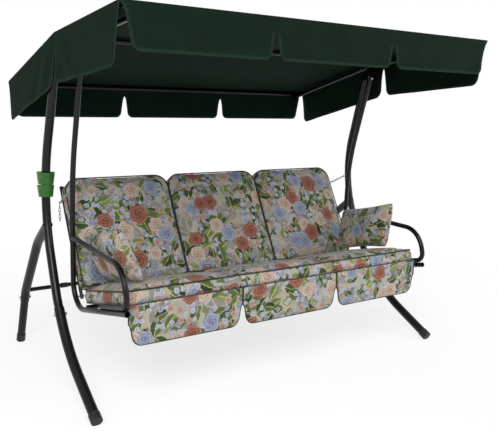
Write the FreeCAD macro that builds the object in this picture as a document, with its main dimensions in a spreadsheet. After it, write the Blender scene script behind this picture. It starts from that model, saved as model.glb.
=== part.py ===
import FreeCAD, Part
import math
import os
import Sketcher
from FreeCAD import Placement, Rotation, Vector

# A canopy swing bench: a stand of two bowed side frames, a seat and backrest that swing from
# the tops of the bows on bent hangers, and a tilting fabric canopy.
# +X runs along the bench, +Z is up, and the front is at -Y. The origin is on the floor,
# midway between the side frames and below the middle of the canopy.

doc = FreeCAD.newDocument("SwingBench")

SIZES = [
    ("foot_half", 975, "from the middle to each foot, along X"),
    ("post_top_half", 925, "from the middle to each post's top end"),
    ("front_foot_y", -485, "front end of the front leg"),
    ("leg_bend_y", -131, "corner of the front leg's bend"),
    ("leg_bend_z", 198, "corner of the front leg's bend"),
    ("post_bend_y", 27, "corner of the post's lower bend"),
    ("post_bend_z", 393, "corner of the post's lower bend"),
    ("belly_y", 258, "corner of the post's large bend"),
    ("belly_z", 836, "corner of the post's large bend"),
    ("post_top_y", 54, "top end of the post"),
    ("post_top_z", 1522, "top end of the post"),
    ("leg_joint_z", 359, "height where the leg ends round the post"),
    ("spigot", 60, "length of a tube inside its sleeve"),
    ("leg_bend_radius", 700, "front leg"),
    ("post_bend_radius", 300, "post, lower bend"),
    ("belly_radius", 700, "post, large bend"),
    ("post_od", 40, "post tube"),
    ("post_wall", 1.8, "post tube"),
    ("leg_od", 45, "sleeve tubes: front leg and rear upper leg"),
    ("slip_fit", 0.1, "radial gap of one tube in another"),
    ("rear_foot_y", 637, "rear foot"),
    ("rear_bend_y", 540, "rear upper leg, lower bend"),
    ("rear_bend_z", 305, "rear upper leg, lower bend"),
    ("rear_knee_y", 330, "rear upper leg, upper bend"),
    ("rear_knee_z", 600, "rear upper leg, upper bend"),
    ("rear_joint_y", 172, "where the rear leg's line meets the post's line"),
    ("rear_joint_z", 716, "where the rear leg's line meets the post's line"),
    ("rear_sleeve_z", 246, "lower end of the rear upper leg"),
    ("rear_bend_radius", 120, "rear upper leg, lower bend"),
    ("rear_knee_radius", 220, "rear upper leg, upper bend"),
    ("rear_od", 40, "rear lower leg"),
    ("rear_wall", 1.8, "rear lower leg"),
    ("cap_wall", 2.5, "foot cap"),
    ("cap_length", 42, "foot cap"),
    ("cap_base", 5, "foot cap, thickness of its end"),
    ("sole_cut", 3, "how deep the floor cuts the foot cap"),
    ("crossbar_od", 22, "rear crossbar"),
    ("thin_wall", 1.5, "wall of the thin tubes"),
    ("coupling_inset", 180, "from the rear leg to the crossbar's coupling"),
    ("coupling_length", 34, "crossbar coupling"),
    ("weld_gap", 0.2, "between pieces that are welded face to face"),
    ("bolt_d", 8, "bolts and pins"),
    ("bolt_fit", 0.05, "radial gap round a bolt"),
    ("head_width", 13, "across the flats of a bolt head"),
    ("head_height", 5, "bolt head"),
    ("plate", 4, "bracket plates"),
    ("hanger_half", 855, "from the middle to each hanger"),
    ("hanger_od", 25, "hanger and armrest tube"),
    ("hanger_wall", 2, "hanger and armrest tube"),
    ("pivot_y", -45, "swing axis"),
    ("pivot_z", 1458, "swing axis"),
    ("hanger_bend_y", 104, "hanger, upper bend"),
    ("hanger_bend_z", 944, "hanger, upper bend"),
    ("hanger_bend_radius", 1400, "hanger, upper bend"),
    ("hanger_heel_y", 118, "hanger, where its line meets the seat rail's"),
    ("seat_angle", 13.5, "slope of the seat"),
    ("heel_z", 306, "hanger, where its line meets the seat rail's"),
    ("heel_radius", 110, "hanger, lower bend"),
    ("rail_length", 655, "from the heel's corner to the rail's front end"),
    ("eye_od", 28, "hanger's top eye"),
    ("eye_width", 14, "hanger's top eye"),
    ("neck", 19, "from the swing axis to the hanger tube's end"),
    ("bush_wall", 2, "plastic bush in the eye"),
    ("lug_gap", 0.5, "between the eye and each lug"),
    ("lug_width", 30, "hanger lug"),
    ("web_drop", 18, "from the canopy tube's centre down to the bracket's web"),
    ("ridge_bend", 160, "bend of the canopy's side tubes"),
    ("arm_root_z", 655, "armrest's rear end"),
    ("arm_front_y", -478, "armrest's upper front corner"),
    ("arm_front_z", 642, "armrest's upper front corner"),
    ("arm_bend_radius", 130, "armrest's upper front bend"),
    ("arm_toe_radius", 42, "armrest's lower front bend"),
    ("arm_toe_run", 8, "from the armrest's lower corner back to the rail's front end"),
    ("arm_return", 290, "armrest's run back along the rail"),
    ("seat_tube_rise", 8, "seat cross tubes above the rails' line"),
    ("seat_tube_od", 22, "seat cross tubes"),
    ("front_tube_run", 92, "from the rail's front end back to the front seat tube"),
    ("rear_tube_run", 505, "from the rail's front end back to the rear seat tube"),
    ("wire_d", 5, "seat and back wires"),
    ("wire_count", 15, "seat and back wires"),
    ("seat_wide", 1670, "three seat cushions together"),
    ("cushion_gap", 0.8, "between soft pieces"),
    ("seat_front_run", 46, "from the rail's front end back to the cushion's front"),
    ("seat_depth", 499, "seat cushion"),
    ("seat_thick", 63, "seat cushion at its gusset"),
    ("seat_crown", 16, "seat cushion"),
    ("back_angle", 28.5, "backrest from the vertical"),
    ("hinge_y", 90, "backrest hinge"),
    ("hinge_z", 372, "backrest hinge"),
    ("back_tube_od", 16, "backrest tubes"),
    ("back_half", 825, "from the middle to each backrest side tube"),
    ("back_tube_length", 560, "backrest side tube above the hinge"),
    ("back_tube_tail", 14, "backrest side tube below the hinge"),
    ("back_bottom_run", 110, "backrest bottom tube above the hinge"),
    ("back_start", 24, "back cushion's lower edge above the hinge"),
    ("back_height", 546, "back cushion"),
    ("back_thick", 64, "back cushion at its gusset"),
    ("back_crown", 18, "back cushion"),
    ("soft_gap", 0.3, "between a soft piece and what carries it"),
    ("side_bulge", 7, "how far a cushion's sides stand out"),
    ("side_draw", 5, "how far a cushion's sides are drawn in between its corners"),
    ("edge_round", 26, "rounded edge of a cushion"),
    ("skirt_drop", 176, "skirt"),
    ("skirt_thick", 12, "skirt"),
    ("skirt_notch", 62, "half the width of the gap between two skirt panels, at the hem"),
    ("skirt_slit", 80, "from the seat down to the top of the gap"),
    ("skirt_round", 42, "skirt panel's lower corners"),
    ("pillow_long", 420, "pillow"),
    ("pillow_high", 264, "pillow"),
    ("pillow_thick", 104, "pillow"),
    ("pillow_x", 764, "pillow's middle"),
    ("pillow_y", -150, "pillow's middle"),
    ("pillow_z", 610.5, "pillow's middle"),
    ("pillow_lean", 21, "pillow from the vertical"),
    ("chain_wire", 3.2, "chain link wire"),
    ("chain_inside", 7, "inner width of a chain link"),
    ("chain_links", 13, "links from the eye to the hook"),
    ("tail_links", 5, "links below the hook"),
    ("chain_eye_z", 876, "chain eye on the hanger"),
    ("hook_run", 475, "chain hook above the backrest hinge"),
    ("hook_reach", 14, "from a tube's centre to the chain's end"),
    ("collar_z", 842, "lower collar's base"),
    ("collar_step", 60, "from the lower collar to the upper one"),
    ("collar_high", 56, "height of a collar"),
    ("collar_low_radius", 32, "lower collar at its base"),
    ("collar_flare", 7, "how much wider each collar's rim is"),
    ("collar_growth", 3, "how much wider the upper collar is"),
    ("collar_wall", 2, "collar"),
    ("canopy_half", 965, "from the middle to the canopy's side edge"),
    ("canopy_reach", 730, "from the middle to the canopy's front and rear edge"),
    ("canopy_front_z", 1630, "canopy's front edge"),
    ("ridge_y", -37, "canopy's ridge"),
    ("ridge_z", 1571, "canopy's ridge"),
    ("canopy_rear_z", 1378, "canopy's rear edge"),
    ("canopy_sag", 12, "how deep each canopy panel sags"),
    ("cloth", 2.5, "thickness of the canopy's cloth with its lining"),
    ("canopy_tube_od", 22, "canopy tubes"),
    ("front_valance", 168, "height of the front valance"),
    ("rear_valance", 182, "height of the rear valance"),
    ("side_valance", 215, "height of the side valances"),
    ("valance_notch", 52, "half the width of a gap between valance panels, at the hem"),
    ("valance_slit", 62, "from the canopy's edge down to the top of a gap"),
    ("valance_round", 38, "lower corners of a valance panel"),
]

WORKED = [
    ("lean", "atan((Sizes.foot_half - Sizes.post_top_half) / Sizes.post_top_z)"),
    ("leg_slope", "(Sizes.post_bend_y - Sizes.leg_bend_y) / (Sizes.post_bend_z - Sizes.leg_bend_z)"),
    ("leg_joint_y", "Sizes.leg_bend_y + (Sizes.leg_joint_z - Sizes.leg_bend_z) * leg_slope"),
    ("spigot_drop", "Sizes.spigot * cos(atan(leg_slope))"),
    ("post_start_z", "Sizes.leg_joint_z - spigot_drop"),
    ("post_start_y", "leg_joint_y - spigot_drop * leg_slope"),
    ("leg_bolt_z", "Sizes.leg_joint_z - spigot_drop / 2"),
    ("leg_bolt_y", "leg_joint_y - spigot_drop / 2 * leg_slope"),
    ("front_cap_r", "Sizes.leg_od / 2 + Sizes.slip_fit + Sizes.cap_wall"),
    ("rear_cap_r", "Sizes.rear_od / 2 + Sizes.slip_fit + Sizes.cap_wall"),
    ("front_foot_z", "front_cap_r * cos(asin((Sizes.leg_bend_z - front_cap_r) / sqrt((Sizes.leg_bend_z"
     " - front_cap_r) ^ 2 + (Sizes.leg_bend_y - Sizes.front_foot_y) ^ 2))) - Sizes.sole_cut"),
    ("rear_slope", "(Sizes.rear_bend_y - Sizes.rear_foot_y) / Sizes.rear_bend_z"),
    ("rear_foot_z", "rear_cap_r * sin(atan(abs(rear_slope))) - Sizes.sole_cut"),
    ("rear_sleeve_y", "Sizes.rear_foot_y + rear_slope * Sizes.rear_sleeve_z"),
    ("rear_turn", "atan((Sizes.rear_bend_y - Sizes.rear_knee_y) / (Sizes.rear_knee_z"
     " - Sizes.rear_bend_z)) - atan(abs(rear_slope))"),
    ("rear_top_z", "Sizes.rear_bend_z - (Sizes.rear_bend_radius * tan(rear_turn / 2) + Sizes.cap_wall)"
     " * cos(atan(rear_slope))"),
    ("rear_top_y", "Sizes.rear_foot_y + rear_slope * rear_top_z"),
    ("rear_bolt_z", "(Sizes.rear_sleeve_z + rear_top_z) / 2"),
    ("rear_bolt_y", "Sizes.rear_foot_y + rear_slope * rear_bolt_z"),
    ("crossbar_end", "Sizes.foot_half - Sizes.rear_bend_z * tan(lean) - Sizes.leg_od / 2 / cos(lean)"
     " - 2 * Sizes.weld_gap"),
    ("rail_y", "Sizes.hanger_heel_y - Sizes.rail_length * cos(Sizes.seat_angle)"),
    ("rail_z", "Sizes.heel_z + Sizes.rail_length * sin(Sizes.seat_angle)"),
    ("stack", "Sizes.hanger_od + Sizes.weld_gap"),
    ("arm_toe_y", "rail_y - Sizes.arm_toe_run + stack * sin(Sizes.seat_angle)"),
    ("arm_toe_z", "rail_z + stack * cos(Sizes.seat_angle) + Sizes.arm_toe_run * tan(Sizes.seat_angle)"),
    ("arm_end_y", "arm_toe_y + Sizes.arm_return * cos(Sizes.seat_angle)"),
    ("arm_end_z", "arm_toe_z - Sizes.arm_return * sin(Sizes.seat_angle)"),
    ("hanger_low_slope", "(Sizes.hanger_heel_y - Sizes.hanger_bend_y) / (Sizes.heel_z"
     " - Sizes.hanger_bend_z)"),
    ("hanger_at_arm", "Sizes.hanger_bend_y + hanger_low_slope * (Sizes.arm_root_z - Sizes.hanger_bend_z)"),
    ("arm_root_y", "hanger_at_arm - Sizes.hanger_od / 2 - Sizes.weld_gap"),
    ("hanger_top_slope", "(Sizes.hanger_bend_y - Sizes.pivot_y) / (Sizes.pivot_z - Sizes.hanger_bend_z)"),
    ("hanger_top_z", "Sizes.pivot_z - Sizes.neck * cos(atan(hanger_top_slope))"),
    ("hanger_top_y", "Sizes.pivot_y + (Sizes.pivot_z - hanger_top_z) * hanger_top_slope"),
    ("canopy_front_tube_y", "-Sizes.canopy_reach + Sizes.canopy_tube_od / 2 + Sizes.weld_gap"),
    ("canopy_drop", "Sizes.cloth + Sizes.canopy_tube_od / 2 + Sizes.canopy_sag * 0.45"),
    ("front_tube_z", "Sizes.canopy_front_z - canopy_drop"),
    ("ridge_tube_z", "Sizes.ridge_z - canopy_drop"),
    ("rear_tube_z", "Sizes.canopy_rear_z - canopy_drop"),
    ("rear_tube_y", "Sizes.canopy_reach - Sizes.canopy_tube_od / 2 - Sizes.weld_gap"),
    ("side_drop", "Sizes.canopy_tube_od + Sizes.weld_gap"),
    ("front_pitch", "atan((Sizes.canopy_front_z - Sizes.ridge_z) / (Sizes.canopy_reach + Sizes.ridge_y))"),
    ("rear_pitch", "atan((Sizes.ridge_z - Sizes.canopy_rear_z) / (Sizes.canopy_reach - Sizes.ridge_y))"),
    ("side_front_z", "front_tube_z - side_drop / cos(front_pitch)"),
    ("side_ridge_z", "ridge_tube_z - side_drop"),
    ("side_rear_z", "rear_tube_z - side_drop / cos(rear_pitch)"),
    ("post_top_slope", "(Sizes.post_top_y - Sizes.belly_y) / (Sizes.post_top_z - Sizes.belly_z)"),
    ("tilt_y", "Sizes.post_top_y - Sizes.canopy_tube_od * post_top_slope"),
    ("tilt_z", "side_ridge_z + (tilt_y - Sizes.ridge_y) * (side_rear_z - side_ridge_z)"
     " / (rear_tube_y - Sizes.ridge_y)"),
    ("post_inner_x", "Sizes.foot_half - tilt_z * tan(lean) - Sizes.post_od / 2 / cos(lean)"),
    ("bracket_x", "post_inner_x - Sizes.weld_gap - Sizes.plate - Sizes.plate * tan(lean) * 4"),
    ("canopy_tube_x", "bracket_x - Sizes.bolt_fit - Sizes.weld_gap - Sizes.canopy_tube_od / 2"),
]


def fill(name, rows, prefix):
    table = doc.addObject("Spreadsheet::Sheet", name)
    for row, entry in enumerate(rows, start=1):
        cell = f"B{row}"
        table.set(f"A{row}", entry[0])
        table.set(cell, prefix + str(entry[1]))
        table.setAlias(cell, entry[0])
        if len(entry) > 2:
            table.set(f"C{row}", entry[2])
    doc.recompute()
    return table


sheets = {"Sizes": fill("Sizes", SIZES, ""), "Worked": fill("Worked", WORKED, "=")}


def num(reference):
    """The number that a cell holds: Sizes.alias or Worked.alias."""
    table, alias = reference.split(".")
    value = sheets[table].get(alias)
    return float(getattr(value, "Value", value))


def size(alias):
    return num("Sizes." + alias)


def worked(alias):
    return num("Worked." + alias)


LEAN = worked("lean")
SIDES = (("left", -1), ("right", 1))
parts = []


def keep(obj, node):
    obj.Label = node
    parts.append(obj)
    return obj


def side_place(side, local=None):
    """A side frame's own upright plane, which leans inwards, at one end of the bench."""
    base = Placement(Vector(side * size("foot_half"), 0, 0), Rotation(Vector(0, -side, 0), LEAN))
    return base.multiply(local) if local else base


def bind_side(obj, side):
    obj.Placement = side_place(side)
    obj.setExpression("Placement.Base.x", f"{side} * Sizes.foot_half")
    obj.setExpression("Placement.Rotation.Angle", "Worked.lean")


def origin_plane(body, role):
    return next(f for f in body.Origin.OriginFeatures if f.Role == role)


def sketch_on(body, name, role):
    sketch = body.newObject("Sketcher::SketchObject", name)
    sketch.AttachmentSupport = [(origin_plane(body, role), "")]
    sketch.MapMode = "FlatFace"
    return sketch


def pin_point(sketch, index, end, refs):
    """Holds one point of a sketch at two cells, whatever the sign of their numbers."""
    for kind, ref in zip(("DistanceX", "DistanceY"), refs):
        value = num(ref)
        pair = (-1, 1, index, end) if value >= 0 else (index, end, -1, 1)
        constraint = sketch.addConstraint(Sketcher.Constraint(kind, *pair, abs(value)))
        sketch.setExpression(f"Constraints[{constraint}]", ref if value >= 0 else "-" + ref)


def circle(sketch, y, z, diameter, radius):
    index = sketch.addGeometry(Part.Circle(Vector(y, z, 0), Vector(0, 0, 1), radius), False)
    constraint = sketch.addConstraint(Sketcher.Constraint("Diameter", index, 2 * radius))
    sketch.setExpression(f"Constraints[{constraint}]", diameter)
    return index


def bent_path(sketch, corners, radii):
    """Straight runs joined by tangent arcs, through corners given as pairs of cells."""
    points = [Vector(num(y), num(z), 0) for y, z in corners]
    starts, ends, arcs = [points[0]], [], []
    for before, corner, after, radius in zip(points, points[1:], points[2:], map(num, radii)):
        back = (before - corner).normalize()
        on = (after - corner).normalize()
        half = back.getAngle(on) / 2
        reach = radius / math.tan(half)
        centre = corner + (back + on).normalize() * (radius / math.sin(half))
        ends.append(corner + back * reach)
        starts.append(corner + on * reach)
        leftward = (on.cross(back)).z > 0
        first, last = (ends[-1], starts[-1]) if leftward else (starts[-1], ends[-1])
        angles = [math.atan2(p.y - centre.y, p.x - centre.x) for p in (first, last)]
        if angles[1] < angles[0]:
            angles[1] += 2 * math.pi
        ring = Part.Circle(centre, Vector(0, 0, 1), radius)
        arcs.append((Part.ArcOfCircle(ring, *angles), (1, 2) if leftward else (2, 1)))
    ends.append(points[-1])
    lines = [sketch.addGeometry(Part.LineSegment(a, b), False) for a, b in zip(starts, ends)]
    guides = [sketch.addGeometry(Part.LineSegment(a, b), True) for a, b in zip(points, points[1:])]
    for place, guide in enumerate(guides):
        pin_point(sketch, guide, 1, corners[place])
        if place:
            sketch.addConstraint(Sketcher.Constraint("Coincident", guides[place - 1], 2, guide, 1))
            sketch.addConstraint(Sketcher.Constraint("PointOnObject", lines[place], 1, guide))
        if guide != guides[-1]:
            sketch.addConstraint(Sketcher.Constraint("PointOnObject", lines[place], 2, guide))
    pin_point(sketch, guides[-1], 2, corners[-1])
    sketch.addConstraint(Sketcher.Constraint("Coincident", lines[0], 1, guides[0], 1))
    sketch.addConstraint(Sketcher.Constraint("Coincident", lines[-1], 2, guides[-1], 2))
    for place, ((arc, (near, far)), radius) in enumerate(zip(arcs, radii)):
        bend = sketch.addGeometry(arc, False)
        sketch.addConstraint(Sketcher.Constraint("Tangent", lines[place], 2, bend, near))
        sketch.addConstraint(Sketcher.Constraint("Tangent", bend, far, lines[place + 1], 1))
        bound = sketch.addConstraint(Sketcher.Constraint("Radius", bend, num(radius)))
        sketch.setExpression(f"Constraints[{bound}]", radius)


def bent_tube(node, corners, radii, outer, inner, holes=()):
    """A tube bent in an upright plane. holes are cross holes for bolts, as pairs of cells."""
    body = doc.addObject("PartDesign::Body", node)
    path = sketch_on(body, node + "_path", "YZ_Plane")
    bent_path(path, corners, radii)
    ring = body.newObject("Sketcher::SketchObject", node + "_section")
    ring.AttachmentSupport = [(path, "Edge1")]
    ring.MapMode = "NormalToEdge"
    doc.recompute()
    circles = [circle(ring, 0, 0, outer[0], outer[1] / 2)]
    if inner:
        circles.append(circle(ring, 0, 0, inner[0], inner[1] / 2))
    for index in circles:
        ring.addConstraint(Sketcher.Constraint("Coincident", index, 3, -1, 1))
    pipe = body.newObject("PartDesign::AdditivePipe", node + "_pipe")
    pipe.Profile = ring
    pipe.Spine = (path, [f"Edge{i + 1}" for i in range(len(corners) * 2 - 3)])
    doc.recompute()
    for number, centre in enumerate(holes):
        spot = sketch_on(body, f"{node}_hole{number}", "YZ_Plane")
        index = circle(spot, num(centre[0]), num(centre[1]), "Sizes.bolt_d + 2 * Sizes.bolt_fit",
                       size("bolt_d") / 2 + size("bolt_fit"))
        pin_point(spot, index, 3, centre)
        pocket = body.newObject("PartDesign::Pocket", f"{node}_bore{number}")
        pocket.Profile = spot
        pocket.SideType = "Symmetric"
        pocket.Length = 4 * outer[1]
        doc.recompute()
    return body


def of_size(alias):
    return ("Sizes." + alias, size(alias))


def bore_of(outer, wall):
    return (f"Sizes.{outer} - 2 * Sizes.{wall}", size(outer) - 2 * size(wall))


def bore_round(inner):
    return (f"Sizes.{inner} + 2 * Sizes.slip_fit", size(inner) + 2 * size("slip_fit"))


def at(*aliases):
    """Cell references for names of either sheet."""
    known = [row[0] for row in SIZES]
    return tuple(("Sizes." if a in known else "Worked.") + a for a in aliases)


def cross_tube(node, half, outer, wall, centre):
    """A straight tube along X, the same length on both sides of the middle."""
    body = doc.addObject("PartDesign::Body", node)
    ring = sketch_on(body, node + "_section", "YZ_Plane")
    od = size(outer)
    inner = od / 2 - size(wall)
    for text, radius in ((f"Sizes.{outer}", od / 2), (f"Sizes.{outer} - 2 * Sizes.{wall}", inner)):
        index = circle(ring, 0, 0, text, radius)
        ring.addConstraint(Sketcher.Constraint("Coincident", index, 3, -1, 1))
    pad = body.newObject("PartDesign::Pad", node + "_pad")
    pad.Profile = ring
    pad.SideType = "Symmetric"
    pad.setExpression("Length", f"2 * ({half})")
    body.Placement = Placement(Vector(0, centre[0], centre[1]), Rotation())
    return keep(body, node)


def solid(node, shape, placement=None):
    """A piece whose form needs lofts or many solids, drawn from the same cells."""
    feature = doc.addObject("Part::Feature", node)
    feature.Shape = shape
    if placement:
        feature.Placement = placement
    return keep(feature, node)


def rod(radius, start, end):
    line = end - start
    return Part.makeCylinder(radius, line.Length, start, line)


def bolt_along_x(x0, x1, y, z, head_side):
    """A bolt from x0 to x1 with a hexagonal head at one end and a nut at the other."""
    step = 1 if x1 > x0 else -1
    radius = size("bolt_d") / 2
    shank = rod(radius, Vector(x0, y, z), Vector(x1, y, z))
    across = size("head_width") / math.cos(math.pi / 6) / 2
    ends = []
    for x, way in ((x0, -step), (x1, step)):
        ring = [Vector(x, y + across * math.cos(k * math.pi / 3), z + across * math.sin(k * math.pi / 3))
                for k in range(7)]
        face = Part.Face(Part.makePolygon(ring))
        thick = size("head_height") * (1 if way == head_side else 1.3)
        ends.append(face.extrude(Vector(way * thick, 0, 0)))
    return shank.fuse(ends).removeSplitter()


def outline_face(points, radii):
    """A flat face through points whose corners are rounded by the radii beside them."""
    edges = []
    count = len(points)
    marks = []
    for k in range(count):
        before, corner, after = points[k - 1], points[k], points[(k + 1) % count]
        back = (before - corner).normalize()
        on = (after - corner).normalize()
        half = back.getAngle(on) / 2
        if radii[k] <= 0:
            marks.append((corner, None, corner))
            continue
        reach = radii[k] / math.tan(half)
        middle = corner + (back + on).normalize() * (radii[k] / math.sin(half) - radii[k])
        marks.append((corner + back * reach, middle, corner + on * reach))
    for k in range(count):
        start, middle, end = marks[k]
        if middle:
            edges.append(Part.Arc(start, middle, end).toShape())
        following = marks[(k + 1) % count][0]
        if (following - end).Length > 1e-6:
            edges.append(Part.LineSegment(end, following).toShape())
    return Part.Face(Part.Wire(edges))


# The stand: front legs, posts, rear legs and their caps. Each side frame is drawn in its own
# plane and leaned inwards about its feet.
def foot_cap(side, tube, radius_ref, start, towards):
    """A plastic cap on a tube's lower end, cut flat by the floor."""
    radius = worked(radius_ref)
    axis = (towards - start).normalize()
    outer = Part.makeCylinder(radius, size("cap_length"), start, axis)
    outer = outer.makeFillet(size("cap_wall"), [outer.Edges[0], outer.Edges[2]])
    bore = Part.makeCylinder(size(tube) / 2 + size("slip_fit"), size("cap_length"),
                             start + axis * size("cap_base"), axis)
    cap = outer.cut(bore)
    cap.transformShape(side_place(side).toMatrix())
    reach = size("foot_half") + size("canopy_reach")
    floor = Part.makeBox(4 * reach, 4 * reach, reach, Vector(-2 * reach, -2 * reach, -reach))
    return cap.cut(floor)


def in_plane(y, z):
    return Vector(0, y, z)


front_start = in_plane(size("front_foot_y"), worked("front_foot_z"))
front_to = in_plane(size("leg_bend_y"), size("leg_bend_z"))
rear_start = in_plane(size("rear_foot_y") + worked("rear_slope") * worked("rear_foot_z"),
                      worked("rear_foot_z"))
rear_to = in_plane(size("rear_bend_y"), size("rear_bend_z"))

lift = size("cap_base") + size("weld_gap")
front_in = front_start + (front_to - front_start).normalize() * lift
rear_in = rear_start + (rear_to - rear_start).normalize() * lift
ends_sheet = fill("Ends", [("leg_y", front_in.y, "front leg tube's lower end"),
                           ("leg_z", front_in.z, "front leg tube's lower end"),
                           ("rear_y", rear_in.y, "rear leg tube's lower end"),
                           ("rear_z", rear_in.z, "rear leg tube's lower end")], "")
sheets["Ends"] = ends_sheet

front_feet, rear_feet, plugs = [], [], []
for name, side in SIDES:
    leg = bent_tube(f"front_leg_{name}", [("Ends.leg_y", "Ends.leg_z"), at("leg_bend_y", "leg_bend_z"),
                    at("leg_joint_y", "leg_joint_z")], at("leg_bend_radius"), of_size("leg_od"),
                    bore_round("post_od"), [at("leg_bolt_y", "leg_bolt_z")])
    bind_side(keep(leg, f"front_leg_{name}"), side)
    post_corners = [at("post_start_y", "post_start_z"), at("post_bend_y", "post_bend_z"),
                    at("belly_y", "belly_z"), at("post_top_y", "post_top_z")]
    post = bent_tube(f"post_{name}", post_corners, at("post_bend_radius", "belly_radius"),
                     of_size("post_od"), bore_of("post_od", "post_wall"), [at("leg_bolt_y", "leg_bolt_z")])
    bind_side(keep(post, f"post_{name}"), side)
    core = bent_tube(f"post_core_{name}", post_corners, at("post_bend_radius", "belly_radius"),
                     ("Sizes.post_od + 2 * Sizes.weld_gap", size("post_od") + 2 * size("weld_gap")), None)
    upper = bent_tube(f"rear_sleeve_{name}", [at("rear_sleeve_y", "rear_sleeve_z"),
                      at("rear_bend_y", "rear_bend_z"), at("rear_knee_y", "rear_knee_z"),
                      at("rear_joint_y", "rear_joint_z")], at("rear_bend_radius", "rear_knee_radius"),
                      of_size("leg_od"), bore_round("rear_od"), [at("rear_bolt_y", "rear_bolt_z")])
    coped = doc.addObject("Part::Cut", f"rear_upper_leg_{name}")
    coped.Base = upper
    coped.Tool = core
    bind_side(keep(coped, f"rear_upper_leg_{name}"), side)
    lower = bent_tube(f"rear_lower_leg_{name}", [("Ends.rear_y", "Ends.rear_z"),
                      at("rear_top_y", "rear_top_z")], (), of_size("rear_od"),
                      bore_of("rear_od", "rear_wall"), [at("rear_bolt_y", "rear_bolt_z")])
    bind_side(keep(lower, f"rear_lower_leg_{name}"), side)
    front_feet.append(foot_cap(side, "leg_od", "front_cap_r", front_start, front_to))
    rear_feet.append(foot_cap(side, "rear_od", "rear_cap_r", rear_start, rear_to))

    # A plastic plug closes the post's top end.
    along = Vector(0, worked("post_top_slope"), 1).normalize()
    top = in_plane(size("post_top_y"), size("post_top_z"))
    disc = Part.makeCylinder(size("post_od") / 2, size("plate"), top + along * size("weld_gap"), along)
    disc = disc.makeFillet(size("plate") * 0.7, [disc.Edges[0]])
    stem = Part.makeCylinder(size("post_od") / 2 - size("post_wall") - size("slip_fit"), 4 * size("plate"),
                             top + along * size("weld_gap"), along * -1)
    plug = disc.fuse(stem).removeSplitter()
    plug.transformShape(side_place(side).toMatrix())
    plugs.append(plug)
solid("front_feet", Part.makeCompound(front_feet))
solid("rear_feet", Part.makeCompound(rear_feet))
solid("post_plugs", Part.makeCompound(plugs))
doc.recompute()

# The rear crossbar, its two couplings and the bolts of the tube joints.
bar_y, bar_z = size("rear_bend_y"), size("rear_bend_z")
bar_end = worked("crossbar_end")
cross_tube("rear_crossbar", "Worked.crossbar_end", "crossbar_od", "thin_wall", (bar_y, bar_z))
sleeves = []
for side in (-1, 1):
    middle = side * (bar_end - size("coupling_inset"))
    start = Vector(middle - size("coupling_length") / 2, bar_y, bar_z)
    end = start + Vector(size("coupling_length"), 0, 0)
    outer_r = size("crossbar_od") / 2 + size("slip_fit") + size("cap_wall")
    sleeves.append(rod(outer_r, start, end).cut(rod(size("crossbar_od") / 2 + size("slip_fit"), start, end)))
solid("crossbar_couplings", Part.makeCompound(sleeves))

bolts = []
for side in (-1, 1):
    for ref, od in (("leg_bolt", "leg_od"), ("rear_bolt", "leg_od")):
        half = size(od) / 2 + size("weld_gap")
        bolt = bolt_along_x(side * half, -side * half, worked(ref + "_y"), worked(ref + "_z"), side)
        bolt.transformShape(side_place(side).toMatrix())
        bolts.append(bolt)
solid("leg_bolts", Part.makeCompound(bolts))

# The two-tier plastic collar clipped round the left post.
def collar(tier):
    height = size("collar_z") + tier * size("collar_step")
    base_r = size("collar_low_radius") + tier * size("collar_growth")
    wall, high = size("collar_wall"), size("collar_high")
    rim = base_r + size("collar_flare")
    bore = size("post_od") / 2 + size("soft_gap")
    profile = [(bore, 0), (base_r, 0), (rim, high), (rim - wall, high), (base_r - wall, wall), (bore, wall)]
    wire = Part.makePolygon([Vector(r, 0, z) for r, z in profile + profile[:1]])
    cup = Part.Face(wire).revolve(Vector(0, 0, 0), Vector(0, 0, 1), 360)
    spot, along = post_line(height)
    turn = Rotation(Vector(0, 0, 1), along)
    cup.transformShape(side_place(-1, Placement(spot, turn)).toMatrix())
    return cup


def post_line(height):
    """The post's centre and direction at a height inside its large bend."""
    knee = Vector(0, size("belly_y"), size("belly_z"))
    low = Vector(0, size("post_bend_y"), size("post_bend_z"))
    high = Vector(0, size("post_top_y"), size("post_top_z"))
    back = (low - knee).normalize()
    on = (high - knee).normalize()
    half = back.getAngle(on) / 2
    centre = knee + (back + on).normalize() * (size("belly_radius") / math.sin(half))
    rise = height - centre.z
    out = math.sqrt(size("belly_radius") ** 2 - rise ** 2)
    return Vector(0, centre.y + out, height), Vector(0, -rise, out).normalize()


solid("post_collar", Part.makeCompound([collar(0), collar(1)]))

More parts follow.
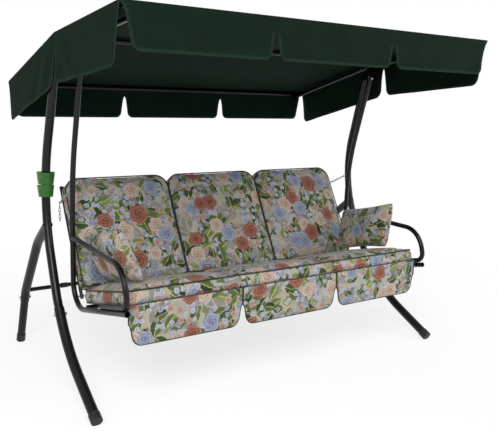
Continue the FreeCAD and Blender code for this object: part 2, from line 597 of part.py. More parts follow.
# The bracket on each post's top: an outer plate against the post with a round ear for the
# canopy's bolt, a web under the canopy tube and two lugs that hold the hanger's eye. The plate's
# front stays low, so that the ridge tube clears it when the canopy tips forward.
pivot = Vector(0, size("pivot_y"), size("pivot_z"))
tilt = Vector(0, worked("tilt_y"), worked("tilt_z"))
plate = size("plate")
eye_half = size("eye_width") / 2
lug_in = eye_half + size("lug_gap")
hanger_x = size("hanger_half")
web_z = tilt.z - size("web_drop") - plate
hole_r = size("bolt_d") / 2 + size("bolt_fit")
bracket_bolts = []
for name, side in SIDES:
    x_out = worked("bracket_x") + plate
    x_in = hanger_x - lug_in - plate
    half_w = size("lug_width") / 2
    post_y = tilt.y
    plate_low = pivot.z - half_w
    outer = Part.makeBox(plate, post_y + half_w - (pivot.y - half_w), tilt.z - plate_low,
                         Vector(x_out - plate, pivot.y - half_w, plate_low))
    ear = rod(half_w, Vector(x_out - plate, tilt.y, tilt.z), Vector(x_out, tilt.y, tilt.z))
    web_back = tilt.y - size("head_width") - size("canopy_tube_od") / 2
    web = Part.makeBox(x_out - x_in, web_back - (pivot.y - half_w), plate,
                       Vector(x_in, pivot.y - half_w, web_z))
    lugs = []
    for x in (x_in, hanger_x + lug_in):
        lugs.append(Part.makeBox(plate, 2 * half_w, web_z + plate - pivot.z,
                                 Vector(x, pivot.y - half_w, pivot.z)))
        lugs.append(rod(half_w, Vector(x, pivot.y, pivot.z), Vector(x + plate, pivot.y, pivot.z)))
    bracket = outer.fuse([ear, web] + lugs)
    past_lugs = hanger_x + lug_in + 2 * plate
    bracket = bracket.cut(rod(hole_r, Vector(x_in - plate, pivot.y, pivot.z),
                              Vector(past_lugs, pivot.y, pivot.z)))
    bracket = bracket.cut(rod(hole_r, Vector(x_out - 3 * plate, tilt.y, tilt.z),
                              Vector(x_out + plate, tilt.y, tilt.z)))
    bracket = bracket.removeSplitter()
    if side < 0:
        bracket = bracket.mirror(Vector(0, 0, 0), Vector(1, 0, 0))
    solid(f"top_bracket_{name}", bracket)

    # The canopy's bolt through the bracket and the canopy tube.
    tube_r = size("canopy_tube_od") / 2
    inner_end = worked("canopy_tube_x") - tube_r - size("weld_gap")
    outer_end = x_out + size("weld_gap")
    tilt_bolt = rod(size("bolt_d") / 2, Vector(side * (outer_end - size("weld_gap")), tilt.y, tilt.z),
                    Vector(side * inner_end, tilt.y, tilt.z))
    nut_r = size("head_width") / 2
    nut = rod(nut_r, Vector(side * inner_end, tilt.y, tilt.z),
              Vector(side * (inner_end - size("head_height")), tilt.y, tilt.z))
    bracket_bolts.append(tilt_bolt.fuse(nut).removeSplitter())

    # The hanger's pivot bolt through both lugs.
    swing_end = hanger_x + lug_in + plate + size("weld_gap")
    swing = bolt_along_x(side * (x_in - size("weld_gap")), side * swing_end, pivot.y, pivot.z, -side)
    bracket_bolts.append(swing)
solid("bracket_bolts", Part.makeCompound(bracket_bolts))

# The swinging seat. Each hanger is one tube, from its eye down, round the heel and forward
# as the seat rail. The armrest tube runs back along the top of the rail.
def shift_x(obj, side):
    obj.Placement = Placement(Vector(side * hanger_x, 0, 0), Rotation())
    obj.setExpression("Placement.Base.x", f"{side} * Sizes.hanger_half")


eyes, bushes = [], []
for name, side in SIDES:
    hanger = bent_tube(f"hanger_{name}", [at("hanger_top_y", "hanger_top_z"),
                       at("hanger_bend_y", "hanger_bend_z"), at("hanger_heel_y", "heel_z"),
                       at("rail_y", "rail_z")], at("hanger_bend_radius", "heel_radius"),
                       of_size("hanger_od"), bore_of("hanger_od", "hanger_wall"))
    shift_x(keep(hanger, f"hanger_{name}"), side)
    armrest = bent_tube(f"armrest_{name}", [at("arm_root_y", "arm_root_z"), at("arm_front_y", "arm_front_z"),
                        at("arm_toe_y", "arm_toe_z"), at("arm_end_y", "arm_end_z")],
                        at("arm_bend_radius", "arm_toe_radius"), of_size("hanger_od"),
                        bore_of("hanger_od", "hanger_wall"))
    shift_x(keep(armrest, f"armrest_{name}"), side)
    bush_r = size("bolt_d") / 2 + size("bolt_fit") + size("bush_wall")
    left, right = side * hanger_x - eye_half, side * hanger_x + eye_half
    a, b = Vector(left, pivot.y, pivot.z), Vector(right, pivot.y, pivot.z)
    wide = size("eye_od") * 0.7
    neck = Part.makeBox(2 * eye_half, wide, size("neck") - size("weld_gap"), Vector(-eye_half, -wide / 2, 0))
    down = Rotation(Vector(0, 0, 1), Vector(0, worked("hanger_top_slope"), -1))
    neck.transformShape(Placement(Vector(side * hanger_x, pivot.y, pivot.z), down).toMatrix())
    eye = rod(size("eye_od") / 2, a, b).fuse(neck).removeSplitter()
    eyes.append(eye.cut(rod(bush_r + size("bolt_fit"), a, b)))
    bushes.append(rod(bush_r, a, b).cut(rod(hole_r, a, b)))
solid("hanger_eyes", Part.makeCompound(eyes))
solid("pivot_bushes", Part.makeCompound(bushes))

doc.recompute()

seat_turn = Rotation(Vector(1, 0, 0), -size("seat_angle"))
seat_frame = Placement(Vector(0, worked("rail_y"), worked("rail_z")), seat_turn)


def on_seat(x, run, rise):
    """A point of the seat, by its run back from the rail's front end and its rise above it."""
    return seat_frame.multVec(Vector(x, run, rise))


rail_r = size("hanger_od") / 2
seat_half = hanger_x - rail_r - size("weld_gap")
for node, run in (("seat_front_tube", "front_tube_run"), ("seat_rear_tube", "rear_tube_run")):
    spot = on_seat(0, size(run), size("seat_tube_rise"))
    cross_tube(node, "Sizes.hanger_half - Sizes.hanger_od / 2 - Sizes.weld_gap", "seat_tube_od",
               "thin_wall", (spot.y, spot.z))

wire_r = size("wire_d") / 2
wire_rise = size("seat_tube_rise") + size("seat_tube_od") / 2 + wire_r + size("weld_gap")
count = int(size("wire_count"))
spacing = size("seat_wide") / count
seat_wires = []
for k in range(count):
    x = (k - (count - 1) / 2) * spacing
    seat_wires.append(rod(wire_r, on_seat(x, size("front_tube_run") - size("seat_tube_od") / 2, wire_rise),
                          on_seat(x, size("rear_tube_run") + size("seat_tube_od") / 2, wire_rise)))
solid("seat_wires", Part.makeCompound(seat_wires))


def section(x, y0, y1, z0, z1, crown, bulge):
    """One cross-section of a cushion: a flat base, bulging sides and a crowned top."""
    low, high = Vector(x, y0, z0), Vector(x, y1, z0)
    top_high, top_low = Vector(x, y1, z1), Vector(x, y0, z1)
    middle_y, middle_z = (y0 + y1) / 2, (z0 + z1) / 2
    return Part.Wire([
        Part.LineSegment(low, high).toShape(),
        Part.Arc(high, Vector(x, y1 + bulge, middle_z), top_high).toShape(),
        Part.Arc(top_high, Vector(x, middle_y, z1 + crown), top_low).toShape(),
        Part.Arc(top_low, Vector(x, y0 - bulge, middle_z), low).toShape(),
    ])


def cushion(wide, deep, thick, crown):
    """A boxed cushion: crowned, with rounded ends and its sides drawn in between the corners."""
    edge, draw, bulge = size("edge_round"), size("side_draw"), size("side_bulge")
    half = wide / 2
    spans = ((-half, edge / 4, edge / 3, 0.15), (-half + edge, 0, 0, 0.55), (0, draw, 0, 1),
             (half - edge, 0, 0, 0.55), (half, edge / 4, edge / 3, 0.15))
    wires = [section(x, bulge + inset, deep - bulge - inset, 0, thick - drop, crown * share, bulge)
             for x, inset, drop, share in spans]
    return Part.makeLoft(wires, True, False)


seat_rise = wire_rise + wire_r + size("soft_gap")
third = size("seat_wide") / 3
for number, name in enumerate(("left", "middle", "right")):
    x = (number - 1) * third
    form = cushion(third - size("cushion_gap"), size("seat_depth"), size("seat_thick"), size("seat_crown"))
    solid(f"seat_cushion_{name}", form, Placement(on_seat(x, size("seat_front_run"), seat_rise), seat_turn))

# The skirt: three padded panels that hang from the front of the seat cushions.
skirt_top = on_seat(0, size("seat_front_run"), seat_rise + size("soft_gap"))
skirt_back = skirt_top.y - size("soft_gap")
top_z = skirt_top.z + size("side_bulge")
low_z = top_z - size("skirt_drop")
slit_z = top_z - size("skirt_slit")
edge_half = size("seat_wide") / 2
for number, name in enumerate(("left", "middle", "right")):
    x0 = -edge_half + number * third
    x1 = x0 + third
    gap = size("cushion_gap") / 2
    notch, bend = size("skirt_notch"), size("skirt_round")
    points = [Vector(x0 + gap, skirt_back, top_z), Vector(x0 + gap, skirt_back, slit_z),
              Vector(x0 + notch, skirt_back, low_z), Vector(x1 - notch, skirt_back, low_z),
              Vector(x1 - gap, skirt_back, slit_z), Vector(x1 - gap, skirt_back, top_z)]
    panel = outline_face(points, [0, bend / 3, bend, bend, bend / 3, 0])
    panel = panel.extrude(Vector(0, -size("skirt_thick"), 0))
    front = [e for e in panel.Edges if abs(e.BoundBox.YMax - e.BoundBox.YMin) < 1e-6
             and abs(e.BoundBox.YMin - (skirt_back - size("skirt_thick"))) < 1e-6]
    solid(f"skirt_{name}", panel.makeFillet(size("skirt_thick") * 0.35, front))


# Two loose pillows that lean outwards against the armrests.
def pillow(long, high, thick):
    half = long / 2
    spans = ((-half, 0.8, 0.16), (-half * 0.86, 0.98, 0.42), (-half * 0.4, 0.96, 0.9), (0, 0.94, 1),
             (half * 0.4, 0.96, 0.9), (half * 0.86, 0.98, 0.42), (half, 0.8, 0.16))
    wires = []
    for x, wide, fat in spans:
        y, z = high / 2 * wide, thick / 2 * fat
        points = [Vector(x, -y, 0), Vector(x, 0, z), Vector(x, y, 0), Vector(x, 0, -z)]
        wires.append(Part.Wire([Part.Arc(points[0], points[1], points[2]).toShape(),
                                Part.Arc(points[2], points[3], points[0]).toShape()]))
    return Part.makeLoft(wires, True, False)


for name, side in SIDES:
    stand_up = Rotation(Vector(0, 0, 1), 90).multiply(Rotation(Vector(1, 0, 0), 90))
    slope = Rotation(Vector(1, 0, 0), -size("seat_angle"))
    outward = Rotation(Vector(0, 1, 0), side * size("pillow_lean"))
    form = pillow(size("pillow_long"), size("pillow_high"), size("pillow_thick"))
    middle = Vector(side * size("pillow_x"), size("pillow_y"), size("pillow_z"))
    solid(f"pillow_{name}", form, Placement(middle,
                                            slope.multiply(outward).multiply(stand_up)))

# The backrest turns on two pins welded inside the hangers' heels.
hinge = Vector(0, size("hinge_y"), size("hinge_z"))
back_turn = Rotation(Vector(1, 0, 0), -size("back_angle"))
back_frame = Placement(hinge, back_turn)


def on_back(x, rear, up):
    """A point of the backrest, by its distance behind the side tubes' line and up along them."""
    return back_frame.multVec(Vector(x, rear, up))


back_r = size("back_tube_od") / 2
pins = []
for side in (-1, 1):
    inner = size("back_half") - back_r - size("lug_gap")
    pin = rod(size("bolt_d") / 2, Vector(side * inner, hinge.y, hinge.z),
              Vector(side * (hanger_x - rail_r * 0.9 - size("weld_gap")), hinge.y, hinge.z))
    head = rod(size("head_width") / 2, Vector(side * inner, hinge.y, hinge.z),
               Vector(side * (inner - size("plate")), hinge.y, hinge.z))
    pins.append(pin.fuse(head).removeSplitter())
hinge_pins = Part.makeCompound(pins)
for obj in (o for o in parts if o.Label in ("hanger_left", "hanger_right")):
    hinge_pins = hinge_pins.cut(obj.Shape)
solid("hinge_pins", Part.makeCompound(hinge_pins.Solids))

for name, side in SIDES:
    node = f"back_tube_{name}"
    tube = rod(back_r, Vector(0, 0, -size("back_tube_tail")), Vector(0, 0, size("back_tube_length")))
    bore = rod(back_r - size("thin_wall"), Vector(0, 0, size("back_tube_tail")),
               Vector(0, 0, size("back_tube_length")))
    hole = rod(hole_r, Vector(-back_r * 2, 0, 0), Vector(back_r * 2, 0, 0))
    solid(node, tube.cut([bore, hole]), Placement(on_back(side * size("back_half"), 0, 0), back_turn))

for node, run in (("back_top_tube", size("back_tube_length") - back_r),
                  ("back_bottom_tube", size("back_bottom_run"))):
    spot = on_back(0, 0, run)
    cross_tube(node, "Sizes.back_half - Sizes.back_tube_od / 2 - Sizes.weld_gap", "back_tube_od",
               "thin_wall", (spot.y, spot.z))

front_rise = back_r + size("weld_gap") + wire_r
back_wires = []
for k in range(count):
    x = (k - (count - 1) / 2) * spacing
    back_wires.append(rod(wire_r, on_back(x, -front_rise, size("back_bottom_run") - back_r),
                          on_back(x, -front_rise, size("back_tube_length"))))
solid("back_wires", Part.makeCompound(back_wires))

lying = Rotation(Vector(1, 0, 0), 90 - size("back_angle"))
for number, name in enumerate(("left", "middle", "right")):
    x = (number - 1) * third
    form = cushion(third - size("cushion_gap"), size("back_height"), size("back_thick"), size("back_crown"))
    spot = on_back(x, -front_rise - wire_r - size("soft_gap"), size("back_start"))
    solid(f"back_cushion_{name}", form, Placement(spot, lying))


# The chains: from an eye on each hanger back to a hook on the backrest, with a spare tail.
def link_shape(pitch):
    wire_radius = size("chain_wire") / 2
    inside = size("chain_inside") / 2
    ring = inside + wire_radius
    straight = (pitch + 2 * size("slip_fit")) / 2 - inside
    a, b = Vector(-straight, ring, 0), Vector(straight, ring, 0)
    c, d = Vector(straight, -ring, 0), Vector(-straight, -ring, 0)
    path = Part.Wire([Part.LineSegment(a, b).toShape(),
                      Part.Arc(b, Vector(straight + ring, 0, 0), c).toShape(),
                      Part.LineSegment(c, d).toShape(),
                      Part.Arc(d, Vector(-straight - ring, 0, 0), a).toShape()])
    face = Part.Wire(Part.Circle(a, Vector(1, 0, 0), wire_radius).toShape())
    return path.makePipeShell([face], True, True)


def chain(start, end, number):
    """A row of links from start to end, each a quarter turn on from the one before."""
    pitch = (end - start).Length / number
    way = (end - start).normalize()
    turn = Rotation(way, Vector(), Vector(1, 0, 0), "XZY")
    one = link_shape(pitch)
    links = []
    for k in range(number):
        link = one.copy()
        link.Placement = Placement(start + way * (pitch * (k + 0.5)),
                                   turn.multiply(Rotation(Vector(1, 0, 0), 90 * (k % 2))))
        links.append(link)
    return Part.makeCompound(links), pitch


eye_z = size("chain_eye_z")
upper = worked("hanger_top_slope")
eye_y = size("pivot_y") + (size("pivot_z") - eye_z) * upper
low_line = size("hanger_bend_y") + worked("hanger_low_slope") * (eye_z - size("hanger_bend_z"))
eye_y = min(eye_y, low_line)
chain_r = size("chain_wire") / 2
ring_r = size("chain_inside") / 2 + chain_r
eyes, hooks = [], []
for name, side in SIDES:
    hook_r = chain_r * 1.2
    wrap = chain_r + 3 * size("slip_fit")
    start = Vector(side * hanger_x, eye_y + rail_r + size("weld_gap") + chain_r + 2 * ring_r - wrap, eye_z)
    hook_at = on_back(side * size("back_half"), 0, size("hook_run"))
    hung = hook_at + Vector(side * (back_r + size("hook_reach")), 0, 0)
    end = hung + (hung - start).normalize() * hook_r
    links, pitch = chain(start, end, int(size("chain_links")))
    solid(f"chain_{name}", links)
    tail_top = hung - Vector(0, 0, pitch * 0.5 + chain_r)
    tail_end = tail_top - Vector(0, 0, size("tail_links") * pitch)
    tail, pitch = chain(tail_top, tail_end, int(size("tail_links")))
    solid(f"chain_tail_{name}", tail)
    wide = ring_r + size("soft_gap")
    eyes.append(Part.makeTorus(wide, chain_r, start + Vector(0, wrap - wide, 0), Vector(0, 0, 1)))
    hooks.append(rod(hook_r, hook_at + Vector(side * (back_r + size("weld_gap")), 0, 0),
                     hung + Vector(side * ring_r, 0, 0)))
solid("chain_eyes", Part.makeCompound(eyes))
solid("chain_hooks", Part.makeCompound(hooks))

# The canopy: a tube frame on two bolts, the fabric top and four hanging valances.
cloth = size("cloth")
reach = size("canopy_reach")
tube_half = f"Sizes.canopy_half - Sizes.canopy_tube_od / 2"
for node, spot in (("canopy_front_tube", (worked("canopy_front_tube_y"), worked("front_tube_z"))),
                   ("canopy_ridge_tube", (size("ridge_y"), worked("ridge_tube_z"))),
                   ("canopy_rear_tube", (worked("rear_tube_y"), worked("rear_tube_z")))):
    cross_tube(node, tube_half, "canopy_tube_od", "thin_wall", spot)

for name, side in SIDES:
    tube = bent_tube(f"canopy_side_tube_{name}", [at("canopy_front_tube_y", "side_front_z"),
                     at("ridge_y", "side_ridge_z"), at("rear_tube_y", "side_rear_z")],
                     ("Sizes.ridge_bend",), of_size("canopy_tube_od"),
                     bore_of("canopy_tube_od", "thin_wall"), [at("tilt_y", "tilt_z")])
    keep(tube, f"canopy_side_tube_{name}")
    tube.Placement = Placement(Vector(side * worked("canopy_tube_x"), 0, 0), Rotation())
    tube.setExpression("Placement.Base.x", f"{side} * Worked.canopy_tube_x")

front = Vector(0, -reach, size("canopy_front_z"))
ridge = Vector(0, size("ridge_y"), size("ridge_z"))
rear = Vector(0, reach, size("canopy_rear_z"))


def sagged(a, b, drop):
    low = Vector(0, 0, -drop)
    middle = (a + b) * 0.5 - Vector(0, 0, size("canopy_sag"))
    return Part.Arc(a + low, middle + low, b + low).toShape()


upright = [Part.LineSegment(p, q).toShape() for p, q in ((rear, rear - Vector(0, 0, cloth)),
                                                         (front - Vector(0, 0, cloth), front))]
profile = Part.Wire([sagged(front, ridge, 0), sagged(ridge, rear, 0), upright[0],
                     sagged(rear, ridge, cloth), sagged(ridge, front, cloth), upright[1]])
top = Part.Face(profile).extrude(Vector(2 * size("canopy_half"), 0, 0))
solid("canopy_top", top, Placement(Vector(-size("canopy_half"), 0, 0), Rotation()))


def valance(node, corners, depth, panels, out):
    """Hanging cloth along an edge: panels with rounded lower corners and a gap between each two."""
    notch, slit, bend = size("valance_notch"), size("valance_slit"), size("valance_round")
    pieces = []
    down = Vector(0, 0, -1)
    for a, b in corners:
        run = (b - a) / panels
        way = Vector(run).normalize()
        for k in range(panels):
            p = a + run * k
            q = a + run * (k + 1)
            points = [p, p + down * slit, p + way * notch + down * depth,
                      q - way * notch + down * depth, q + down * slit, q]
            face = outline_face(points, [0, bend / 3, bend, bend, bend / 3, 0])
            pieces.append(face.extrude(out * cloth))
    joined = pieces[0].fuse(pieces[1:]).removeSplitter() if len(pieces) > 1 else pieces[0]
    solid(node, joined)


x = size("canopy_half")
edge = {name: (Vector(side * x, front.y, front.z), Vector(side * x, ridge.y, ridge.z),
               Vector(side * x, rear.y, rear.z)) for name, side in SIDES}
valance("valance_front", [(edge["left"][0], edge["right"][0])], size("front_valance"), 3, Vector(0, -1, 0))
valance("valance_rear", [(edge["left"][2], edge["right"][2])], size("rear_valance"), 3, Vector(0, 1, 0))
for name, side in SIDES:
    a, b, c = edge[name]
    valance(f"valance_{name}", [(a, b), (b, c)], size("side_valance"), 1, Vector(side, 0, 0))

doc.recompute()
for obj in doc.Objects:
    if "Invalid" in obj.State or "Error" in obj.State:
        raise RuntimeError(f"{obj.Name} failed: {obj.State}")
os.makedirs("parts", exist_ok=True)
for obj in parts:
    if obj.Shape.isNull() or not obj.Shape.isValid() or not obj.Shape.Solids:
        raise RuntimeError(f"{obj.Label} has no valid solid")
    obj.Shape.exportStep(f"parts/{obj.Label}.step")
    print(obj.Label, len(obj.Shape.Solids), round(obj.Shape.Volume))
print("nodes", len(parts))
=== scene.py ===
import math

import bpy
import numpy as np
from mathutils import Matrix, Vector


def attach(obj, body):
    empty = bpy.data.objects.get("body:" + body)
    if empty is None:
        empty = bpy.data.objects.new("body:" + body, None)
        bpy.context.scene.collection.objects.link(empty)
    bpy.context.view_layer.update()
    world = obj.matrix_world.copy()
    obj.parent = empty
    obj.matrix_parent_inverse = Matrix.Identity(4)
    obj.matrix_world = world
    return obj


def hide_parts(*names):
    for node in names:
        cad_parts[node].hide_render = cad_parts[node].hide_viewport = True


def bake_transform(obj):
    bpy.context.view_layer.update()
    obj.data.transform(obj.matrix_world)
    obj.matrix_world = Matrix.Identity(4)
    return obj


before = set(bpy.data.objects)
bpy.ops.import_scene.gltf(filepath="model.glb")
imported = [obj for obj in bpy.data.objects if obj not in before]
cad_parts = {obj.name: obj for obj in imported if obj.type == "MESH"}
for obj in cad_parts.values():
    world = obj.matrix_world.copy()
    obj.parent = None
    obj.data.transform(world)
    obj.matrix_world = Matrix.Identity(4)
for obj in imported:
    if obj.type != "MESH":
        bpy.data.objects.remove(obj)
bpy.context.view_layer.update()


# The studio: a camera at the height of a standing person's chest, turned to the left front
# corner, a pale floor that fades into a white background, a broad soft lamp from the left and
# two weaker ones from the right and the rear. The floor keeps the object's shadow.
yaw, pitch, roll = math.radians(34.08), math.radians(-9.79), math.radians(1.40)
ahead = Vector((math.sin(yaw) * math.cos(pitch), math.cos(yaw) * math.cos(pitch), math.sin(pitch)))
level = Vector((math.cos(yaw), -math.sin(yaw), 0))
above = level.cross(ahead)
across = level * math.cos(roll) + above * math.sin(roll)
upward = above * math.cos(roll) - level * math.sin(roll)
camera = bpy.data.objects.new("camera", bpy.data.cameras.new("camera"))
camera.matrix_world = Matrix.Translation((-1.8646, -2.8493, 1.3010)) @ Matrix(
    (across, upward, -ahead)).transposed().to_4x4()
camera.data.lens = 47.58
bpy.context.scene.collection.objects.link(camera)
bpy.context.scene.camera = camera
bpy.context.scene.view_settings.view_transform = "Standard"


def shade(code):
    """A linear colour from an sRGB hex code."""
    parts = [int(code[k:k + 2], 16) / 255 for k in (1, 3, 5)]
    return tuple(c / 12.92 if c <= 0.04045 else ((c + 0.055) / 1.055) ** 2.4 for c in parts) + (1.0,)


def add(tree, kind, inputs=None, **settings):
    """Adds one node to a material, with its settings, and its sockets set or linked."""
    made = tree.nodes.new("ShaderNode" + kind)
    for name, value in settings.items():
        setattr(made, name, value)
    for socket, value in (inputs or {}).items():
        if isinstance(value, bpy.types.NodeSocket):
            tree.links.new(value, made.inputs[socket])
        else:
            made.inputs[socket].default_value = value
    return made


def material(name):
    """A new material with an empty tree, and its tree."""
    made = bpy.data.materials.new(name)
    made.use_nodes = True
    made.node_tree.nodes.clear()
    return made, made.node_tree


world = bpy.data.worlds.new("studio")
bpy.context.scene.world = world
world.use_nodes = True
world.node_tree.nodes.clear()
sky = world.node_tree
ray = add(sky, "LightPath")
seen = add(sky, "Math", {0: ray.outputs["Is Camera Ray"], 1: ray.outputs["Is Transmission Ray"]},
           operation="MAXIMUM")
strength = add(sky, "MapRange", {0: seen.outputs[0], 3: 0.62, 4: 1.0})
backdrop = add(sky, "Background", {0: (1, 1, 1, 1), 1: strength.outputs[0]})
add(sky, "OutputWorld", {0: backdrop.outputs[0]})

floor_paint, tree = material("matt_white_floor")
spot = add(tree, "TexCoord")
grain = add(tree, "TexNoise", {0: spot.outputs["Object"], "Scale": 3.0, "Detail": 2.0})
tone = add(tree, "MapRange", {0: grain.outputs[0], 3: 0.90, 4: 0.94})
lit = add(tree, "BsdfDiffuse", {0: tone.outputs[0], "Roughness": 1.0})
glow = add(tree, "Emission", {0: (1, 1, 1, 1), 1: 1.0})
reach = add(tree, "VectorMath", {0: spot.outputs["Object"]}, operation="LENGTH")
fade = add(tree, "MapRange", {0: reach.outputs["Value"], 1: 1.2, 2: 3.2, 3: 0.72, 4: 1.0})
ray = add(tree, "LightPath")
seen = add(tree, "Math", {0: ray.outputs["Is Camera Ray"], 1: ray.outputs["Is Glossy Ray"]},
           operation="MAXIMUM")
share = add(tree, "Math", {0: seen.outputs[0], 1: fade.outputs[0]}, operation="MULTIPLY")
both = add(tree, "MixShader", {0: share.outputs[0], 1: lit.outputs[0], 2: glow.outputs[0]})
add(tree, "OutputMaterial", {0: both.outputs[0]})
bpy.ops.mesh.primitive_plane_add(size=60, location=(0, 0, 0))
floor = bpy.context.object
floor.name = "floor"
floor.data.materials.append(floor_paint)

for name, spot, aim, size, power in (("key_lamp", (-2.6, -3.4, 3.6), (0, 0, 0.7), 2.6, 125),
                                     ("fill_lamp", (3.4, -2.2, 2.4), (0, 0, 0.8), 2.2, 45),
                                     ("rear_lamp", (0.5, 3.6, 3.0), (0, 0, 0.9), 2.4, 50)):
    lamp = bpy.data.objects.new(name, bpy.data.lights.new(name, "AREA"))
    lamp.data.size = size
    lamp.data.energy = power
    lamp.location = spot
    lamp.rotation_euler = (Vector(aim) - Vector(spot)).to_track_quat("-Z", "Y").to_euler()
    bpy.context.scene.collection.objects.link(lamp)


# The bowed posts, rear legs, hangers and armrests are mild steel tube, bent cold, welded and
# powder coated in a glossy anthracite, which leaves a faint orange-peel on the surface.
def painted_steel(name, colour, low, high, peel):
    """Powder-coated steel: dark, its gloss in soft patches between low and high roughness."""
    made, tree = material(name)
    spot = add(tree, "TexCoord")
    patches = add(tree, "TexNoise", {0: spot.outputs["Object"], "Scale": 9.0, "Detail": 3.0})
    rough = add(tree, "MapRange", {0: patches.outputs[0], 1: 0.3, 2: 0.7, 3: low, 4: high})
    pores = add(tree, "TexNoise", {0: spot.outputs["Object"], "Scale": 420.0, "Detail": 2.0})
    bump = add(tree, "Bump", {"Strength": peel, "Distance": 0.0004, "Height": pores.outputs[0]})
    base = shade(colour)
    tint = add(tree, "Mix", {0: patches.outputs[0], 6: base, 7: tuple(c * 1.35 for c in base[:3]) + (1,)},
               data_type="RGBA")
    coat = add(tree, "BsdfPrincipled", {"Base Color": tint.outputs[2], "Roughness": rough.outputs[0],
                                        "Specular IOR Level": 0.3, "Coat Weight": 0.06, "Coat Roughness": 0.12,
                                        "Normal": bump.outputs[0]})
    add(tree, "OutputMaterial", {0: coat.outputs[0]})
    return made


def dress(names, finish):
    """Gives CAD nodes a finish."""
    for name in names:
        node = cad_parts[name]
        if not node.material_slots:
            node.data.materials.append(finish)
        for place in node.material_slots:
            place.material = finish


def pair(*names):
    """The left and right nodes of each name."""
    return [f"{name}_{side}" for name in names for side in ("left", "right")]


gloss_coat = painted_steel("anthracite_powder_coat", "#0b0c0f", 0.2, 0.32, 0.12)
dress(pair("post", "rear_upper_leg", "hanger", "armrest", "back_tube", "canopy_side_tube")
      + ["rear_crossbar", "seat_front_tube", "seat_rear_tube", "back_top_tube", "back_bottom_tube",
         "canopy_front_tube", "canopy_ridge_tube", "canopy_rear_tube"], gloss_coat)
satin_coat = painted_steel("satin_black_powder_coat", "#08090a", 0.36, 0.5, 0.2)
dress(pair("front_leg", "rear_lower_leg"), satin_coat)
dress(["seat_wires", "back_wires"], painted_steel("dipped_black_wire", "#0a0a0b", 0.45, 0.6, 0.25))


# Bolts, nuts, brackets, the hangers' eyes and the chains are zinc-plated steel: a cold grey
# with soft cloudy patches where the plating dried, duller than chrome.
zinc, tree = material("zinc_plated_steel")
spot = add(tree, "TexCoord")
cloud = add(tree, "TexNoise", {0: spot.outputs["Object"], "Scale": 90.0, "Detail": 4.0})
tone = add(tree, "Mix", {0: cloud.outputs[0], 6: shade("#8f9192"), 7: shade("#c9c9c4")}, data_type="RGBA")
dull = add(tree, "MapRange", {0: cloud.outputs[0], 1: 0.25, 2: 0.75, 3: 0.26, 4: 0.5})
metal = add(tree, "BsdfPrincipled", {"Base Color": tone.outputs[2], "Metallic": 1.0,
                                     "Roughness": dull.outputs[0]})
add(tree, "OutputMaterial", {0: metal.outputs[0]})
dress(["leg_bolts", "bracket_bolts", "hinge_pins", "chain_eyes", "chain_hooks", "hanger_eyes"]
      + pair("chain", "chain_tail"), zinc)
dress(pair("top_bracket"), gloss_coat)


# Foot caps, plugs, couplings and bushes are moulded black polyethylene, matt with a fine
# sparked grain from the mould.
moulded, tree = material("moulded_black_polyethylene")
spot = add(tree, "TexCoord")
spark = add(tree, "TexNoise", {0: spot.outputs["Object"], "Scale": 700.0, "Detail": 2.0})
bump = add(tree, "Bump", {"Strength": 0.25, "Distance": 0.0003, "Height": spark.outputs[0]})
wear = add(tree, "TexNoise", {0: spot.outputs["Object"], "Scale": 30.0, "Detail": 4.0})
tone = add(tree, "Mix", {0: wear.outputs[0], 6: shade("#0e0f10"), 7: shade("#1d1e20")}, data_type="RGBA")
body = add(tree, "BsdfPrincipled", {"Base Color": tone.outputs[2], "Roughness": 0.55, "IOR": 1.51,
                                    "Normal": bump.outputs[0]})
add(tree, "OutputMaterial", {0: body.outputs[0]})
dress(["front_feet", "rear_feet", "post_plugs", "crossbar_couplings", "pivot_bushes"], moulded)


# The two-tier collar on the left post is injection-moulded polypropylene, a clear mid green
# that lets light through its thin walls.
jelly, tree = material("translucent_green_polypropylene")
spot = add(tree, "TexCoord")
streak = add(tree, "TexNoise", {0: spot.outputs["Object"], "Scale": 40.0, "Detail": 3.0})
tone = add(tree, "Mix", {0: streak.outputs[0], 6: shade("#1c5c16"), 7: shade("#3f8a2c")}, data_type="RGBA")
skin = add(tree, "BsdfPrincipled", {"Base Color": tone.outputs[2], "Roughness": 0.25, "IOR": 1.49,
                                    "Transmission Weight": 0.35, "Subsurface Weight": 0.2,
                                    "Subsurface Radius": (0.004, 0.008, 0.004)})
add(tree, "OutputMaterial", {0: skin.outputs[0]})
dress(["post_collar"], jelly)


# The seat cushions are foam slabs in a printed cotton cover: cream ground with roses, leaves
# and small blue flowers, boxed with a gusset and edged with dark green piping.
def scatter(tree, spot, cell, away):
    """Places a motif at random: metres from its nearest centre, turned, and two chance numbers."""
    moved = add(tree, "VectorMath", {0: spot, 1: away}, operation="ADD")
    cells = add(tree, "TexVoronoi", {"Vector": moved.outputs[0], "Scale": 1 / cell, "Randomness": 0.85},
                voronoi_dimensions="2D")
    near = add(tree, "VectorMath", {0: moved.outputs[0], 1: cells.outputs["Position"]},
               operation="SUBTRACT")
    chance = add(tree, "SeparateColor", {0: cells.outputs["Color"]})
    angle = add(tree, "Math", {0: chance.outputs[0], 1: 6.283}, operation="MULTIPLY")
    turn = add(tree, "VectorRotate", {"Vector": near.outputs[0], "Angle": angle.outputs[0]},
               rotation_type="Z_AXIS")
    return turn.outputs[0], chance.outputs[1], chance.outputs[2]


